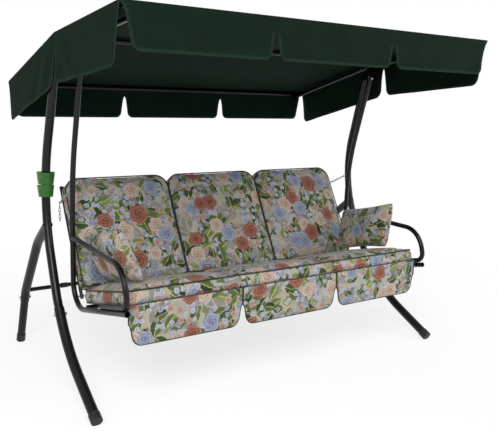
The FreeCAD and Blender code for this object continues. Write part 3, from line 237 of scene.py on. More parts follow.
def rose(tree, spot, below, cell, away, radius, colours, share):
    """Roses over what is below: rings of overlapping petals that darken towards the heart."""
    near, chance, other = scatter(tree, spot, cell, away)
    axes = add(tree, "SeparateXYZ", {0: near})
    length = add(tree, "VectorMath", {0: near}, operation="LENGTH")
    angle = add(tree, "Math", {0: axes.outputs[1], 1: axes.outputs[0]}, operation="ARCTAN2")
    frill = add(tree, "Math", {0: angle.outputs[0], 1: 5.0}, operation="MULTIPLY")
    wave = add(tree, "Math", {0: frill.outputs[0]}, operation="SINE")
    reach = add(tree, "MapRange", {0: wave.outputs[0], 1: -1.0, 2: 1.0, 3: radius * 0.86, 4: radius})
    grade = add(tree, "MapRange", {0: other, 3: 0.72, 4: 1.0})
    sized = add(tree, "Math", {0: reach.outputs[0], 1: grade.outputs[0]}, operation="MULTIPLY")
    part = add(tree, "Math", {0: length.outputs[1], 1: sized.outputs[0]}, operation="DIVIDE")
    inside = add(tree, "Math", {0: part.outputs[0], 1: 1.0}, operation="LESS_THAN")
    grown = add(tree, "Math", {0: chance, 1: share}, operation="LESS_THAN")
    mask = add(tree, "Math", {0: inside.outputs[0], 1: grown.outputs[0]}, operation="MULTIPLY")
    swirl = add(tree, "Math", {0: part.outputs[0], 1: 2.7}, operation="MULTIPLY")
    spin = add(tree, "Math", {0: angle.outputs[0], 1: 0.4775}, operation="MULTIPLY")
    mixed = add(tree, "Math", {0: swirl.outputs[0], 1: spin.outputs[0]}, operation="ADD")
    petal = add(tree, "Math", {0: mixed.outputs[0]}, operation="FRACT")
    brush = add(tree, "TexNoise", {"Vector": spot, "Scale": 150.0, "Detail": 2.0})
    stroke = add(tree, "MapRange", {0: brush.outputs[0], 1: 0.3, 2: 0.7, 3: -0.18, 4: 0.18})
    lifted = add(tree, "Math", {0: part.outputs[0], 1: 0.38, 2: stroke.outputs[0]},
                 operation="MULTIPLY_ADD")
    depth = add(tree, "Math", {0: petal.outputs[0], 1: 0.62, 2: lifted.outputs[0]},
                operation="MULTIPLY_ADD")
    stain = add(tree, "ValToRGB", {0: depth.outputs[0]})
    stain.color_ramp.elements[0].color = shade(colours[0])
    stain.color_ramp.elements[1].color = shade(colours[2])
    stain.color_ramp.elements[1].position = 0.85
    stain.color_ramp.elements.new(0.32).color = shade(colours[1])
    over = add(tree, "Mix", {0: mask.outputs[0], 6: below, 7: stain.outputs[0]}, data_type="RGBA")
    return over.outputs[2]


def leaf(tree, spot, below, cell, away, half, slim, colours, share):
    """Leaves over what is below: pointed ovals with a pale rib, lighter on one side of it."""
    near, chance, other = scatter(tree, spot, cell, away)
    axes = add(tree, "SeparateXYZ", {0: near})
    run = add(tree, "Math", {0: axes.outputs[0], 1: 1 / half}, operation="MULTIPLY")
    side = add(tree, "Math", {0: axes.outputs[1], 1: 1 / (half * slim)}, operation="MULTIPLY")
    square = add(tree, "Math", {0: run.outputs[0], 1: run.outputs[0]}, operation="MULTIPLY")
    wide = add(tree, "Math", {0: 1.0, 1: square.outputs[0]}, operation="SUBTRACT")
    off = add(tree, "Math", {0: side.outputs[0]}, operation="ABSOLUTE")
    inside = add(tree, "Math", {0: off.outputs[0], 1: wide.outputs[0]}, operation="LESS_THAN")
    grown = add(tree, "Math", {0: chance, 1: share}, operation="LESS_THAN")
    mask = add(tree, "Math", {0: inside.outputs[0], 1: grown.outputs[0]}, operation="MULTIPLY")
    tone = add(tree, "Mix", {0: other, 6: shade(colours[0]), 7: shade(colours[1])}, data_type="RGBA")
    upper = add(tree, "Math", {0: side.outputs[0], 1: 0.0}, operation="GREATER_THAN")
    half_tone = add(tree, "Math", {0: upper.outputs[0], 1: 0.45}, operation="MULTIPLY")
    lighter = add(tree, "Mix", {0: half_tone.outputs[0], 6: tone.outputs[2], 7: shade(colours[2])},
                  data_type="RGBA")
    rib = add(tree, "Math", {0: off.outputs[0], 1: 0.09}, operation="LESS_THAN")
    ribbed = add(tree, "Mix", {0: rib.outputs[0], 6: lighter.outputs[2], 7: shade(colours[3])},
                 data_type="RGBA")
    over = add(tree, "Mix", {0: mask.outputs[0], 6: below, 7: ribbed.outputs[2]}, data_type="RGBA")
    return over.outputs[2]


def printed_cotton(name):
    """Printed cotton: matt and slightly furry, with a mottled ground and the flowers in layers."""
    made, tree = material(name)
    # The print's repeat is drawn at the size of the real one: roses about 110 mm across.
    flat = add(tree, "UVMap", uv_map="cloth")
    uv = add(tree, "VectorMath", {0: flat.outputs[0], "Scale": 0.74}, operation="SCALE")
    wobble = add(tree, "TexNoise", {"Vector": uv.outputs[0], "Scale": 60.0, "Detail": 2.0})
    bent = add(tree, "VectorMath", {0: wobble.outputs["Color"], 1: (0.5, 0.5, 0.5)}, operation="SUBTRACT")
    small = add(tree, "VectorMath", {0: bent.outputs[0], "Scale": 0.012}, operation="SCALE")
    spot = add(tree, "VectorMath", {0: uv.outputs[0], 1: small.outputs[0]}, operation="ADD").outputs[0]
    mottle = add(tree, "TexNoise", {"Vector": uv.outputs[0], "Scale": 22.0, "Detail": 3.0})
    ground = add(tree, "Mix", {0: mottle.outputs[0], 6: shade("#958f7e"), 7: shade("#beb8a5")},
                 data_type="RGBA").outputs[2]
    greys = ("#77766f", "#8d8b83", "#99968b", "#b0ac9e")
    ground = leaf(tree, spot, ground, 0.062, (0.31, 0.77, 0), 0.034, 0.62, greys, 0.75)
    ground = leaf(tree, spot, ground, 0.055, (1.93, 0.42, 0), 0.030, 0.7, greys, 0.6)
    greens = ("#2c3720", "#47552d", "#6f7d45", "#98a06c")
    limes = ("#566236", "#7c8748", "#949e5e", "#b9bd88")
    ground = leaf(tree, spot, ground, 0.058, (0.05, 1.31, 0), 0.030, 0.58, limes, 0.55)
    ground = leaf(tree, spot, ground, 0.052, (2.71, 0.11, 0), 0.027, 0.55, greens, 0.62)
    ground = leaf(tree, spot, ground, 0.066, (4.37, 2.81, 0), 0.033, 0.6, greens, 0.5)
    blues = ("#454a61", "#777e98", "#a7adbd")
    pinks = ("#6f433c", "#9b736b", "#c1aa9e")
    reds = ("#45221b", "#7a4435", "#a67562")
    creams = ("#7e5d50", "#ab8e7d", "#cbbfae")
    lilacs = ("#63688a", "#959ab3", "#c3c5cd")
    ground = rose(tree, spot, ground, 0.026, (0.4, 0.9, 0), 0.011, lilacs, 0.5)
    ground = rose(tree, spot, ground, 0.030, (3.3, 1.7, 0), 0.011, blues, 0.34)
    ground = rose(tree, spot, ground, 0.044, (6.3, 2.7, 0), 0.015, pinks, 0.34)
    ground = rose(tree, spot, ground, 0.118, (5.1, 3.2, 0), 0.037, creams, 0.62)
    ground = rose(tree, spot, ground, 0.139, (7.7, 4.9, 0), 0.039, blues, 0.62)
    ground = rose(tree, spot, ground, 0.158, (9.2, 6.1, 0), 0.041, reds, 0.66)
    # Real threads are 0.4 mm apart, too fine to show, so the slubs are drawn at about 1.5 mm.
    thread = add(tree, "TexNoise", {"Vector": uv.outputs[0], "Scale": 900.0, "Detail": 1.0})
    bump = add(tree, "Bump", {"Strength": 0.3, "Distance": 0.0006, "Height": thread.outputs[0]})
    cloth = add(tree, "BsdfPrincipled", {"Base Color": ground, "Roughness": 0.88, "Sheen Weight": 0.12,
                                         "Specular IOR Level": 0.25, "Normal": bump.outputs[0]})
    add(tree, "OutputMaterial", {0: cloth.outputs[0]})
    return made


floral = printed_cotton("printed_cotton_roses")

piping, tree = material("dark_green_piping")
spot = add(tree, "TexCoord")
twill = add(tree, "TexNoise", {0: spot.outputs["Object"], "Scale": 350.0, "Detail": 2.0})
tone = add(tree, "Mix", {0: twill.outputs[0], 6: shade("#0f1713"), 7: shade("#25312b")}, data_type="RGBA")
bias = add(tree, "BsdfPrincipled", {"Base Color": tone.outputs[2], "Roughness": 0.8, "Sheen Weight": 0.1})
add(tree, "OutputMaterial", {0: bias.outputs[0]})

# The seat's own frame stands at the front end of its rails and slopes down to the rear.
rail_front = Vector((0, -0.5189023, 0.4589067))
tilt = Matrix.Rotation(math.radians(-13.5), 4, "X")
seat_frame = Matrix.Translation(rail_front) @ tilt
third = 1.670 / 3


def plan(width, depth, corner, step):
    """Points round a rectangle with rounded corners; corner holds the front and rear radius."""
    points = []
    for cx, cy, r, first in ((width / 2, 0, corner[0], -90), (width / 2, depth, corner[1], 0),
                             (-width / 2, depth, corner[1], 90), (-width / 2, 0, corner[0], 180)):
        mx = cx - math.copysign(r, cx)
        my = cy + (r if cy == 0 else -r)
        count = max(2, int(r * 1.57 / step))
        points += [(mx + r * math.cos(math.radians(first + 90 * k / count)),
                    my + r * math.sin(math.radians(first + 90 * k / count))) for k in range(count + 1)]
    return points


def slab(name, width, depth, thick, crown, corner, belly=0.004, draw=0.005, cells=56):
    """A boxed cushion, lying with its base at z = 0: two crowned panels and a gusset between."""
    rows = max(8, round(cells * depth / width))
    bpy.ops.mesh.primitive_grid_add(x_subdivisions=cells, y_subdivisions=rows, size=1)
    obj = bpy.context.object
    obj.name = name
    co = np.array([v.co[:] for v in obj.data.vertices])
    u, v = co[:, 0] * 2, co[:, 1] * 2
    radii = np.where(v > 0, corner[1], corner[0])
    hx, hy = width / 2, depth / 2
    x, y = u * hx, v * hy
    # The grid's corners are drawn in to the plan's round corners.
    px, py = np.abs(x) - (hx - radii), np.abs(y) - (hy - radii)
    out = (px > 0) & (py > 0)
    big = np.maximum(px, py)
    norm = np.hypot(px, py)
    scale = np.where(out & (norm > 0), big / np.maximum(norm, 1e-9), 1.0)
    x = np.where(out, np.sign(x) * (hx - radii + px * scale), x)
    y = np.where(out, np.sign(y) * (hy - radii + py * scale), y)
    y -= np.sign(v) * draw * (1 - u ** 2) * np.abs(v) ** 6
    x -= np.sign(u) * draw * (1 - v ** 2) * np.abs(u) ** 6
    dome = crown * np.clip((1 - np.abs(u) ** 2.6) * (1 - np.abs(v) ** 2.6), 0, 1) ** 0.62
    z = thick + dome
    obj.data.vertices.foreach_set("co", np.stack([x, y + hy, z], 1).ravel())
    # The gusset and the base: the rim is drawn down in steps, bulging between its two seams.
    bpy.ops.object.mode_set(mode="EDIT")
    bpy.ops.mesh.select_all(action="SELECT")
    bpy.ops.mesh.region_to_loop()
    steps = max(4, round(thick / 0.011))
    for k in range(steps):
        bpy.ops.mesh.extrude_region_move(TRANSFORM_OT_translate={"value": (0, 0, -thick / steps)})
    bpy.ops.mesh.extrude_region_move(TRANSFORM_OT_translate={"value": (0, 0, 0)})
    bpy.ops.transform.resize(value=(0.6, 0.6, 1), center_override=(0, hy, 0))
    bpy.ops.mesh.extrude_region_move(TRANSFORM_OT_translate={"value": (0, 0, 0)})
    bpy.ops.mesh.merge(type="CENTER")
    bpy.ops.mesh.select_all(action="SELECT")
    bpy.ops.mesh.normals_make_consistent(inside=False)
    bpy.ops.object.mode_set(mode="OBJECT")
    co = np.array([v.co[:] for v in obj.data.vertices])
    up_share = np.clip(co[:, 2] / thick, 0, 1)
    rim = (co[:, 2] < thick - 1e-5) & (co[:, 2] > 1e-5)
    away = co[:, :2] - np.array([0, hy])
    push = belly * np.sin(math.pi * up_share)
    face_x = np.abs(away[:, 0]) / hx >= np.abs(away[:, 1]) / hy
    co[:, 0] += np.where(rim & face_x, np.sign(away[:, 0]) * push, 0)
    co[:, 1] += np.where(rim & ~face_x, np.sign(away[:, 1]) * push, 0)
    obj.data.vertices.foreach_set("co", co.ravel())
    obj.data.update()
    return obj


def lay_cloth(obj, origin=(0.0, 0.0)):
    """Maps the print in metres: flat on the panels, wrapped down the gusset."""
    mesh = obj.data
    layer = mesh.uv_layers.get("cloth") or mesh.uv_layers.new(name="cloth")
    co = np.empty(len(mesh.vertices) * 3)
    mesh.vertices.foreach_get("co", co)
    corner_vertex = np.empty(len(mesh.loops), dtype=np.int64)
    mesh.loops.foreach_get("vertex_index", corner_vertex)
    total = np.empty(len(mesh.polygons), dtype=np.int64)
    mesh.polygons.foreach_get("loop_total", total)
    normal = np.empty(len(mesh.polygons) * 3)
    mesh.polygons.foreach_get("normal", normal)
    p = co.reshape(-1, 3)[corner_vertex]
    n = np.repeat(normal.reshape(-1, 3), total, axis=0)
    up = np.abs(n[:, 2]) > 0.6
    along = ~up & (np.abs(n[:, 1]) >= np.abs(n[:, 0]))
    u = np.where(up | along, p[:, 0], p[:, 1] + 1.7 * np.sign(n[:, 0]))
    v = np.where(up, p[:, 1], np.where(along, p[:, 2] - 0.3 * np.sign(n[:, 1]), p[:, 2]))
    layer.data.foreach_set("uv", np.stack([u + origin[0], v + origin[1]], 1).ravel())


def puff(obj, seams, grow=-0.035, pressure=3.5, frames=18, cap=0.012):
    """Swells the cover between its seams by cloth simulation, and keeps the result in the mesh."""
    co = np.array([v.co[:] for v in obj.data.vertices])
    group = obj.vertex_groups.new(name="seam")
    for k, p in enumerate(co):
        held = max((math.exp(-((p[2] - z) / 0.004) ** 2) if abs(p[2] - z) < 0.012 else 0.0) for z in seams)
        flat = 1.0 if p[2] < 0.001 else held
        group.add([k], float(flat if edge_of(obj, p) or p[2] < 0.001 else 0.0), "REPLACE")
    cloth = obj.modifiers.new("swell", "CLOTH")
    cloth.settings.quality = 5
    cloth.settings.mass = 0.2
    cloth.settings.tension_stiffness = 12
    cloth.settings.compression_stiffness = 12
    cloth.settings.bending_stiffness = 0.6
    cloth.settings.use_pressure = True
    cloth.settings.uniform_pressure_force = pressure
    cloth.settings.shrink_min = grow
    cloth.settings.vertex_group_mass = "seam"
    cloth.settings.effector_weights.gravity = 0
    cloth.point_cache.frame_start = 1
    cloth.point_cache.frame_end = frames
    for f in range(1, frames + 1):
        bpy.context.scene.frame_set(f)
    ready = obj.evaluated_get(bpy.context.evaluated_depsgraph_get())
    after = np.array([v.co[:] for v in ready.data.vertices])
    move = after - co
    size = np.linalg.norm(move, axis=1, keepdims=True)
    move *= np.minimum(1, cap / np.maximum(size, 1e-9))
    obj.modifiers.remove(cloth)
    obj.data.vertices.foreach_set("co", (co + move).ravel())
    obj.data.update()
    bpy.context.scene.frame_set(1)


def edge_of(obj, p):
    """Whether a point lies on the cushion's rim, where the seams run."""
    low, high = obj["low"], obj["high"]
    return min(p[0] - low[0], high[0] - p[0], p[1] - low[1], high[1] - p[1]) < obj["corner"]


def finish_soft(obj, origin, place, levels=1):
    """Smooths a soft piece, maps its cloth and moves it into place, with its place in its mesh."""
    if levels:
        smooth = obj.modifiers.new("smooth", "SUBSURF")
        smooth.levels = smooth.render_levels = levels
        bpy.context.view_layer.objects.active = obj
        bpy.ops.object.modifier_apply(modifier="smooth")
    lay_cloth(obj, origin)
    obj.data.transform(place)
    for face in obj.data.polygons:
        face.use_smooth = True
    obj.data.materials.clear()
    obj.data.materials.append(floral)


def cord_edge(name, points, radius, place, body, closed=True):
    """Piping: a covered cord sewn along a line of points."""
    curve = bpy.data.curves.new(name, "CURVE")
    curve.dimensions = "3D"
    curve.bevel_depth = radius
    curve.bevel_resolution = 2
    spline = curve.splines.new("POLY")
    spline.points.add(len(points) - 1)
    for point, spot in zip(spline.points, points):
        point.co = (*(place @ Vector(spot)), 1)
    spline.use_cyclic_u = closed
    drawn = bpy.data.objects.new(name + "_line", curve)
    mesh = bpy.data.meshes.new_from_object(drawn)
    bpy.data.objects.remove(drawn)
    obj = bpy.data.objects.new(name, mesh)
    bpy.context.scene.collection.objects.link(obj)
    obj.data.materials.clear()
    obj.data.materials.append(piping)
    for face in obj.data.polygons:
        face.use_smooth = True
    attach(obj, body)
    return obj


def fresh():
    """Deselects everything, so that an operator acts only on what is added next."""
    bpy.ops.object.select_all(action="DESELECT")


def make_cushions(kind, body, width, depth, thick, crown, corner, places, seed):
    """Three like cushions: one is formed, the others are copies, each with its own cut of cloth."""
    fresh()
    first = slab(kind, width, depth, thick, crown, corner)
    first["low"], first["high"] = [-width / 2, 0], [width / 2, depth]
    first["corner"] = 0.03
    puff(first, (thick, 0.0))
    rough = first.data.copy()
    for number, (side, place) in enumerate(zip(("left", "middle", "right"), places)):
        node = f"{kind}_{side}"
        obj = bpy.data.objects.new("soft_" + node, rough.copy())
        bpy.context.scene.collection.objects.link(obj)
        finish_soft(obj, (seed + number * 1.37, seed * 0.61 + number * 0.83), place)
        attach(obj, body)
        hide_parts(node)
        rim = plan(width + 0.001, depth, corner, 0.012)
        cord_edge(f"piping_top_{node}", [(x, y, thick) for x, y in rim], 0.0032, place, body)
        cord_edge(f"piping_low_{node}", [(x, y, 0.0034) for x, y in rim], 0.0030, place, body)
    bpy.data.objects.remove(first)


make_cushions("seat_cushion", "seat", third - 0.004, 0.497, 0.062, 0.016, (0.022, 0.022),
              [seat_frame @ Matrix.Translation(((k - 1) * third, 0.047, 0.0248)) for k in range(3)], 2.3)


# The back cushions are made like the seat's, taller than wide, with broad round corners at
# the top, and lean on the wires of the reclining back.
hinge = Matrix.Translation((0, 0.090, 0.372)) @ Matrix.Rotation(math.radians(-28.5), 4, "X")
lying = Matrix.Rotation(math.radians(90), 4, "X")
make_cushions("back_cushion", "backrest", third - 0.004, 0.544, 0.064, 0.018, (0.02, 0.07),
              [hinge @ Matrix.Translation(((k - 1) * third, -0.0137, 0.025)) @ lying
               for k in range(3)], 11.9)



# The skirt is three padded panels that hang from the front seam of the seat cushions, with
# the same print and piping, and an open notch between each two.
skirt_top = seat_frame @ Vector((0, 0.046, 0.0248))
skirt_plane = skirt_top.y - 0.0003
skirt_high = skirt_top.z + 0.007
skirt_drop, skirt_slit, skirt_notch, skirt_round = 0.176, 0.080, 0.021, 0.041


def half_width(down, half, drop, slit, notch, bend):
    """A hanging panel's half width at a depth: full, drawn in to a round-topped notch, then rounded."""
    below = np.clip((down - slit) / (drop - slit), 0, 1)
    low = np.clip((down - (drop - bend)) / bend, 0, 1)
    return half - notch * np.sqrt(below) - bend * (1 - np.sqrt(1 - low ** 2))


def hanging_grid(name, columns, rows, half, drop, slit, notch, bend, corners=(False, False)):
    """A flat panel in X and Z that hangs from z = 0, and how far each point is from its free edge.

    At a corner of the roof the notch starts near the top and is wider.
    """
    bpy.ops.mesh.primitive_grid_add(x_subdivisions=columns, y_subdivisions=rows, size=2)
    obj = bpy.context.object
    obj.name = name
    co = np.array([v.co[:] for v in obj.data.vertices])
    share = (1 - co[:, 1]) / 2
    top_part = slit / drop
    curve = 0.5 - 0.5 * np.cos(np.clip((share - 0.25) / 0.75, 0, 1) * math.pi)
    down = drop * np.where(share < 0.25, share / 0.25 * top_part, top_part + (1 - top_part) * curve)
    wide = half_width(down, half, drop, slit, notch, bend)
    at_corner = ((co[:, 0] < 0) & corners[0]) | ((co[:, 0] > 0) & corners[1])
    wide = np.where(at_corner, half_width(down, half, drop, 0.012, 0.040, bend), wide)
    x = co[:, 0] * wide
    obj.data.vertices.foreach_set("co", np.stack([x, 0 * down, -down], 1).ravel())
    beside = np.where((down > slit) | at_corner, wide - np.abs(x), 1.0)
    edge = np.maximum(np.minimum(beside, drop - down), 0)
    # This distance is kept for the canopy cloth, which paints a highlight in a band along the free edge.
    mark = obj.data.attributes.new("hem", "FLOAT", "POINT")
    mark.data.foreach_set("value", edge.astype(np.float32))
    return obj


def rim_of(half, drop, slit, notch, bend, steps=48):
    """The panel's free edge as a line: down one side, along the hem and up the other."""
    part = 0.5 - 0.5 * np.cos(np.linspace(0, 1, steps) * math.pi)
    down = np.concatenate([np.linspace(0, slit * 0.96, 8), slit + (drop - slit) * part])
    wide = half_width(down, half, drop, slit, notch, bend)
    left = [(-w, -d) for w, d in zip(wide, down)]
    return left + [(w, -d) for w, d in zip(wide[::-1], down[::-1])]


for number, side in enumerate(("left", "middle", "right")):
    fresh()
    half = third / 2 - 0.0008
    panel = hanging_grid("skirt", 44, 18, half, skirt_drop, skirt_slit, skirt_notch, skirt_round)
    flat = np.array([v.co[:] for v in panel.data.vertices])
    count = len(flat)
    bpy.ops.object.mode_set(mode="EDIT")
    bpy.ops.mesh.select_all(action="SELECT")
    bpy.ops.mesh.extrude_region_move(TRANSFORM_OT_translate={"value": (0, -0.004, 0)})
    bpy.ops.mesh.select_all(action="SELECT")
    bpy.ops.mesh.normals_make_consistent(inside=False)
    bpy.ops.object.mode_set(mode="OBJECT")
    co = np.array([v.co[:] for v in panel.data.vertices])
    wide = half_width(-co[:, 2], half, skirt_drop, skirt_slit, skirt_notch, skirt_round)
    away = np.minimum(np.minimum(wide - np.abs(co[:, 0]), skirt_drop + co[:, 2]), 0.03) / 0.03
    swell = np.sqrt(np.clip(1 - (1 - np.clip(away, 0, 1)) ** 2, 0, 1))
    pucker = 0.0006 * np.sin(co[:, 0] * 95 + number * 2.1) * (1 - swell) + 0.0009 * np.sin(
        co[:, 0] * 21 + co[:, 2] * 13 + number * 1.7)
    front = co[:, 1] < -0.002
    co[:, 1] = np.where(front, -0.0075 - 0.0038 * swell + pucker, -0.0065 + 0.0052 * swell)
    panel.data.vertices.foreach_set("co", co.ravel())
    hung = Matrix.Translation(((number - 1) * third, skirt_plane, skirt_high))
    lay_cloth(panel, (3.1 + number * 1.9, 7.7 + number * 0.7))
    panel.data.transform(hung)
    panel.name = f"soft_skirt_{side}"
    for face in panel.data.polygons:
        face.use_smooth = True
    panel.data.materials.append(floral)
    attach(panel, "seat")
    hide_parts(f"skirt_{side}")
    rim = rim_of(half - 0.0015, skirt_drop, skirt_slit, skirt_notch, skirt_round)
    cord_edge(f"piping_skirt_{side}", [(x, -0.0072, z) for x, z in rim], 0.0028, hung, "seat")


# Two loose pillows of the same print lean outwards on the armrests. Each is two squares of
# cloth sewn face to face, so it is thick in the middle and thin and pointed at the corners.
pillow_long, pillow_high, pillow_thick = 0.420, 0.264, 0.100
for number, (side, way) in enumerate((("left", -1), ("right", 1))):
    fresh()
    bpy.ops.mesh.primitive_grid_add(x_subdivisions=44, y_subdivisions=30, size=2)
    pillow = bpy.context.object
    bpy.ops.object.mode_set(mode="EDIT")
    bpy.ops.mesh.select_all(action="SELECT")
    bpy.ops.mesh.extrude_region_move(TRANSFORM_OT_translate={"value": (0, 0, 0.01)})
    bpy.ops.mesh.select_all(action="SELECT")
    bpy.ops.mesh.normals_make_consistent(inside=False)
    bpy.ops.object.mode_set(mode="OBJECT")
    co = np.array([v.co[:] for v in pillow.data.vertices])
    u, v, upper = co[:, 0], co[:, 1], co[:, 2] > 0.005
    body = (1 - np.abs(u) ** 2.4) * (1 - np.abs(v) ** 2.2)
    fat = np.clip(body, 0, 1) ** 0.5
    blunt = 1 - 0.075 * (np.abs(u) * np.abs(v)) ** 5
    pull = 0.030 * (1 - u ** 2) * np.abs(v) ** 3
    x = np.sign(u) * np.abs(u) ** 0.96 * (pillow_long / 2) * (1 - 0.05 * (1 - v ** 2) * np.abs(u) ** 3)
    y = v * (pillow_high / 2) - np.sign(v) * pull * 0.6
    angle = np.arctan2(v * 0.63, u)
    pucker = 0.0018 * np.sin(angle * 34 + number) * np.clip(1 - fat * 1.15, 0, 1) * (np.abs(u * v) ** 0.5)
    z = np.where(upper, 1, -1) * (0.0012 + pillow_thick / 2 * 0.97 * fat) + pucker
    z += 0.0022 * np.sin(x * 41 + y * 23 + number * 2) * fat
    pillow.data.vertices.foreach_set("co", np.stack([x * blunt, y * blunt, z], 1).ravel())
    turned = (Matrix.Translation((way * 0.764, -0.150, 0.6105)) @ tilt
              @ Matrix.Rotation(math.radians(way * 21), 4, "Y")
              @ Matrix.Rotation(math.radians(90), 4, "Z") @ Matrix.Rotation(math.radians(90), 4, "X"))
    pillow.name = f"soft_pillow_{side}"
    lay_cloth(pillow, (21.3 + number * 2.7, 4.4 + number * 1.3))
    pillow.data.transform(turned)
    for face in pillow.data.polygons:
        face.use_smooth = True
    pillow.data.materials.append(floral)
    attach(pillow, "seat")
    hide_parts(f"pillow_{side}")


# The canopy is one roof of coated polyester, sewn over the tube frame and sagging a little
# between its tubes, in a dark bottle green that is almost black from below.
roof_cloth, tree = material("coated_polyester_bottle_green")
spot = add(tree, "UVMap", uv_map="cloth")
# The real weave is 0.4 mm, too fine to show, so its threads are drawn at 2.5 mm.
threads = add(tree, "TexWave", {"Vector": spot.outputs[0], "Scale": 63.0, "Distortion": 0.6},
              bands_direction="X")
wefts = add(tree, "TexWave", {"Vector": spot.outputs[0], "Scale": 63.0, "Distortion": 0.6},
            bands_direction="Y")
weave = add(tree, "Math", {0: threads.outputs["Fac"], 1: wefts.outputs["Fac"]}, operation="MULTIPLY")
bump = add(tree, "Bump", {"Strength": 0.15, "Distance": 0.0004, "Height": weave.outputs[0]})
worn = add(tree, "TexNoise", {"Vector": spot.outputs[0], "Scale": 7.0, "Detail": 4.0})
tone = add(tree, "Mix", {0: worn.outputs[0], 6: shade("#0c1b14"), 7: shade("#14261c")}, data_type="RGBA")
# A lighter green is painted in a band about 12 mm wide along each free edge of the valances: a painted
# highlight where the turned hem would catch the light. The roof sheet has none.
hem = add(tree, "Attribute", attribute_name="hem")
fold_and_hem_highlight = add(tree, "MapRange", {0: hem.outputs["Fac"], 1: 0.011, 2: 0.013, 3: 0.5, 4: 0.0})
hem_highlighted = add(tree, "Mix", {0: fold_and_hem_highlight.outputs[0], 6: tone.outputs[2], 7: shade("#26392e")}, data_type="RGBA")
roof = add(tree, "BsdfPrincipled", {"Base Color": hem_highlighted.outputs[2], "Roughness": 0.8,
                                    "Specular IOR Level": 0.07, "Normal": bump.outputs[0]})
add(tree, "OutputMaterial", {0: roof.outputs[0]})

half_roof, reach, fabric = 0.965, 0.730, 0.0016
front_top, ridge_top, rear_top = (-0.730, 1.630), (-0.037, 1.571), (0.730, 1.378)


def roof_point(s):
    """Y, Z and the share of sag along the roof, for s from 0 at the front to 2 at the rear."""
    first = s < 1
    t = np.where(first, s, s - 1)
    y = np.where(first, front_top[0] + (ridge_top[0] - front_top[0]) * t,
                 ridge_top[0] + (rear_top[0] - ridge_top[0]) * t)
    z = np.where(first, front_top[1] + (ridge_top[1] - front_top[1]) * t,
                 ridge_top[1] + (rear_top[1] - ridge_top[1]) * t)
    return y, z, np.sin(math.pi * t)


def soft_sheet(obj, node, place):
    """Gives a sheet its thickness, cloth map and finish, and hands it over as the node's cloth."""
    lay_cloth(obj, place)
    thick = obj.modifiers.new("cloth", "SOLIDIFY")
    thick.thickness = fabric
    thick.offset = -1
    bpy.context.view_layer.objects.active = obj
    bpy.ops.object.modifier_apply(modifier="cloth")
    obj.data.materials.append(roof_cloth)
    for face in obj.data.polygons:
        face.use_smooth = True
    obj.name = "cloth_" + node
    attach(obj, "canopy")
    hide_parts(node)


fresh()
bpy.ops.mesh.primitive_grid_add(x_subdivisions=96, y_subdivisions=80, size=2)
roof_sheet = bpy.context.object
co = np.array([v.co[:] for v in roof_sheet.data.vertices])
u, s = co[:, 0], co[:, 1] + 1
y, z, sag = roof_point(s)
pillar = 1 - np.abs(u) ** 6
near_edge = np.clip(1 - (1 - np.abs(u)) / 0.16, 0, 1)
drop = 0.0105 * sag * (0.35 + 0.65 * pillar)
creases = 0.0016 * np.sin((np.abs(u) * 31 + s * 9)) * near_edge * sag
ripple = 0.0012 * np.sin(u * 11 + np.sin(s * 5) * 1.5) * sag
z = z - drop - 0.0007 - np.abs(creases) + ripple - 0.0012
roof_sheet.data.vertices.foreach_set("co", np.stack([u * half_roof, y, z], 1).ravel())
roof_sheet.data.update()
# The roof has no free edge, so no painted highlight is laid on it.
mark = roof_sheet.data.attributes.new("hem", "FLOAT", "POINT")
mark.data.foreach_set("value", np.ones(len(co), dtype=np.float32))
soft_sheet(roof_sheet, "canopy_top", (0.0, 0.0))


# Four valances hang from the roof's edges. Each is hemmed, with a painted highlight along the hem, cut into
# panels by notches that are round at the top, and waves a little, with folds where the side's corner pulls.
def valance(node, start, end, drop, panels, slit, notch, bend, outward, seed):
    """A valance along the line from start to end, joined above its notches."""
    fresh()
    first = Vector(start)
    run = Vector(end) - first
    length = run.length
    half = length / panels / 2
    made = []
    for k in range(panels):
        fresh()
        made.append(hanging_grid(node, 40, 34, half, drop, slit, notch, bend, (k == 0, k == panels - 1)))
        bpy.context.object.data.transform(Matrix.Translation(((2 * k + 1) * half, 0, 0)))
    fresh()
    for piece in made:
        piece.select_set(True)
    bpy.context.view_layer.objects.active = made[0]
    if len(made) > 1:
        bpy.ops.object.join()
    obj = bpy.context.view_layer.objects.active
    bpy.ops.object.mode_set(mode="EDIT")
    bpy.ops.mesh.select_all(action="SELECT")
    bpy.ops.mesh.remove_doubles(threshold=0.0003)
    bpy.ops.object.mode_set(mode="OBJECT")
    co = np.array([v.co[:] for v in obj.data.vertices])
    x, down = co[:, 0], -co[:, 2]
    part = down / drop
    wave = (0.0030 * np.sin(x * 8.3 + seed) + 0.0018 * np.sin(x * 19.0 + seed * 2.3)) * part ** 1.3
    wave += 0.0016 * np.sin(x * 43 + down * 15 + seed) * part * (1 - part * 0.5)
    near_end = np.minimum(x, length - x)
    wave += 0.004 * np.sin(near_end * 30 - down * 36) * np.exp(-(near_end / 0.22) ** 2) * part
    wave += 0.0032 * part
    along = run.normalized()
    out = Vector(outward)
    spots = (np.array(first)[None, :] + x[:, None] * np.array(along)[None, :]
             - down[:, None] * np.array((0, 0, 1.0))[None, :] + wave[:, None] * np.array(out)[None, :])
    obj.data.vertices.foreach_set("co", spots.ravel())
    obj.data.update()
    facing = obj.data.polygons[len(obj.data.polygons) // 2].normal.dot(out)
    if facing < 0:
        obj.data.flip_normals()
    soft_sheet(obj, node, (seed, seed * 0.7))
    return obj


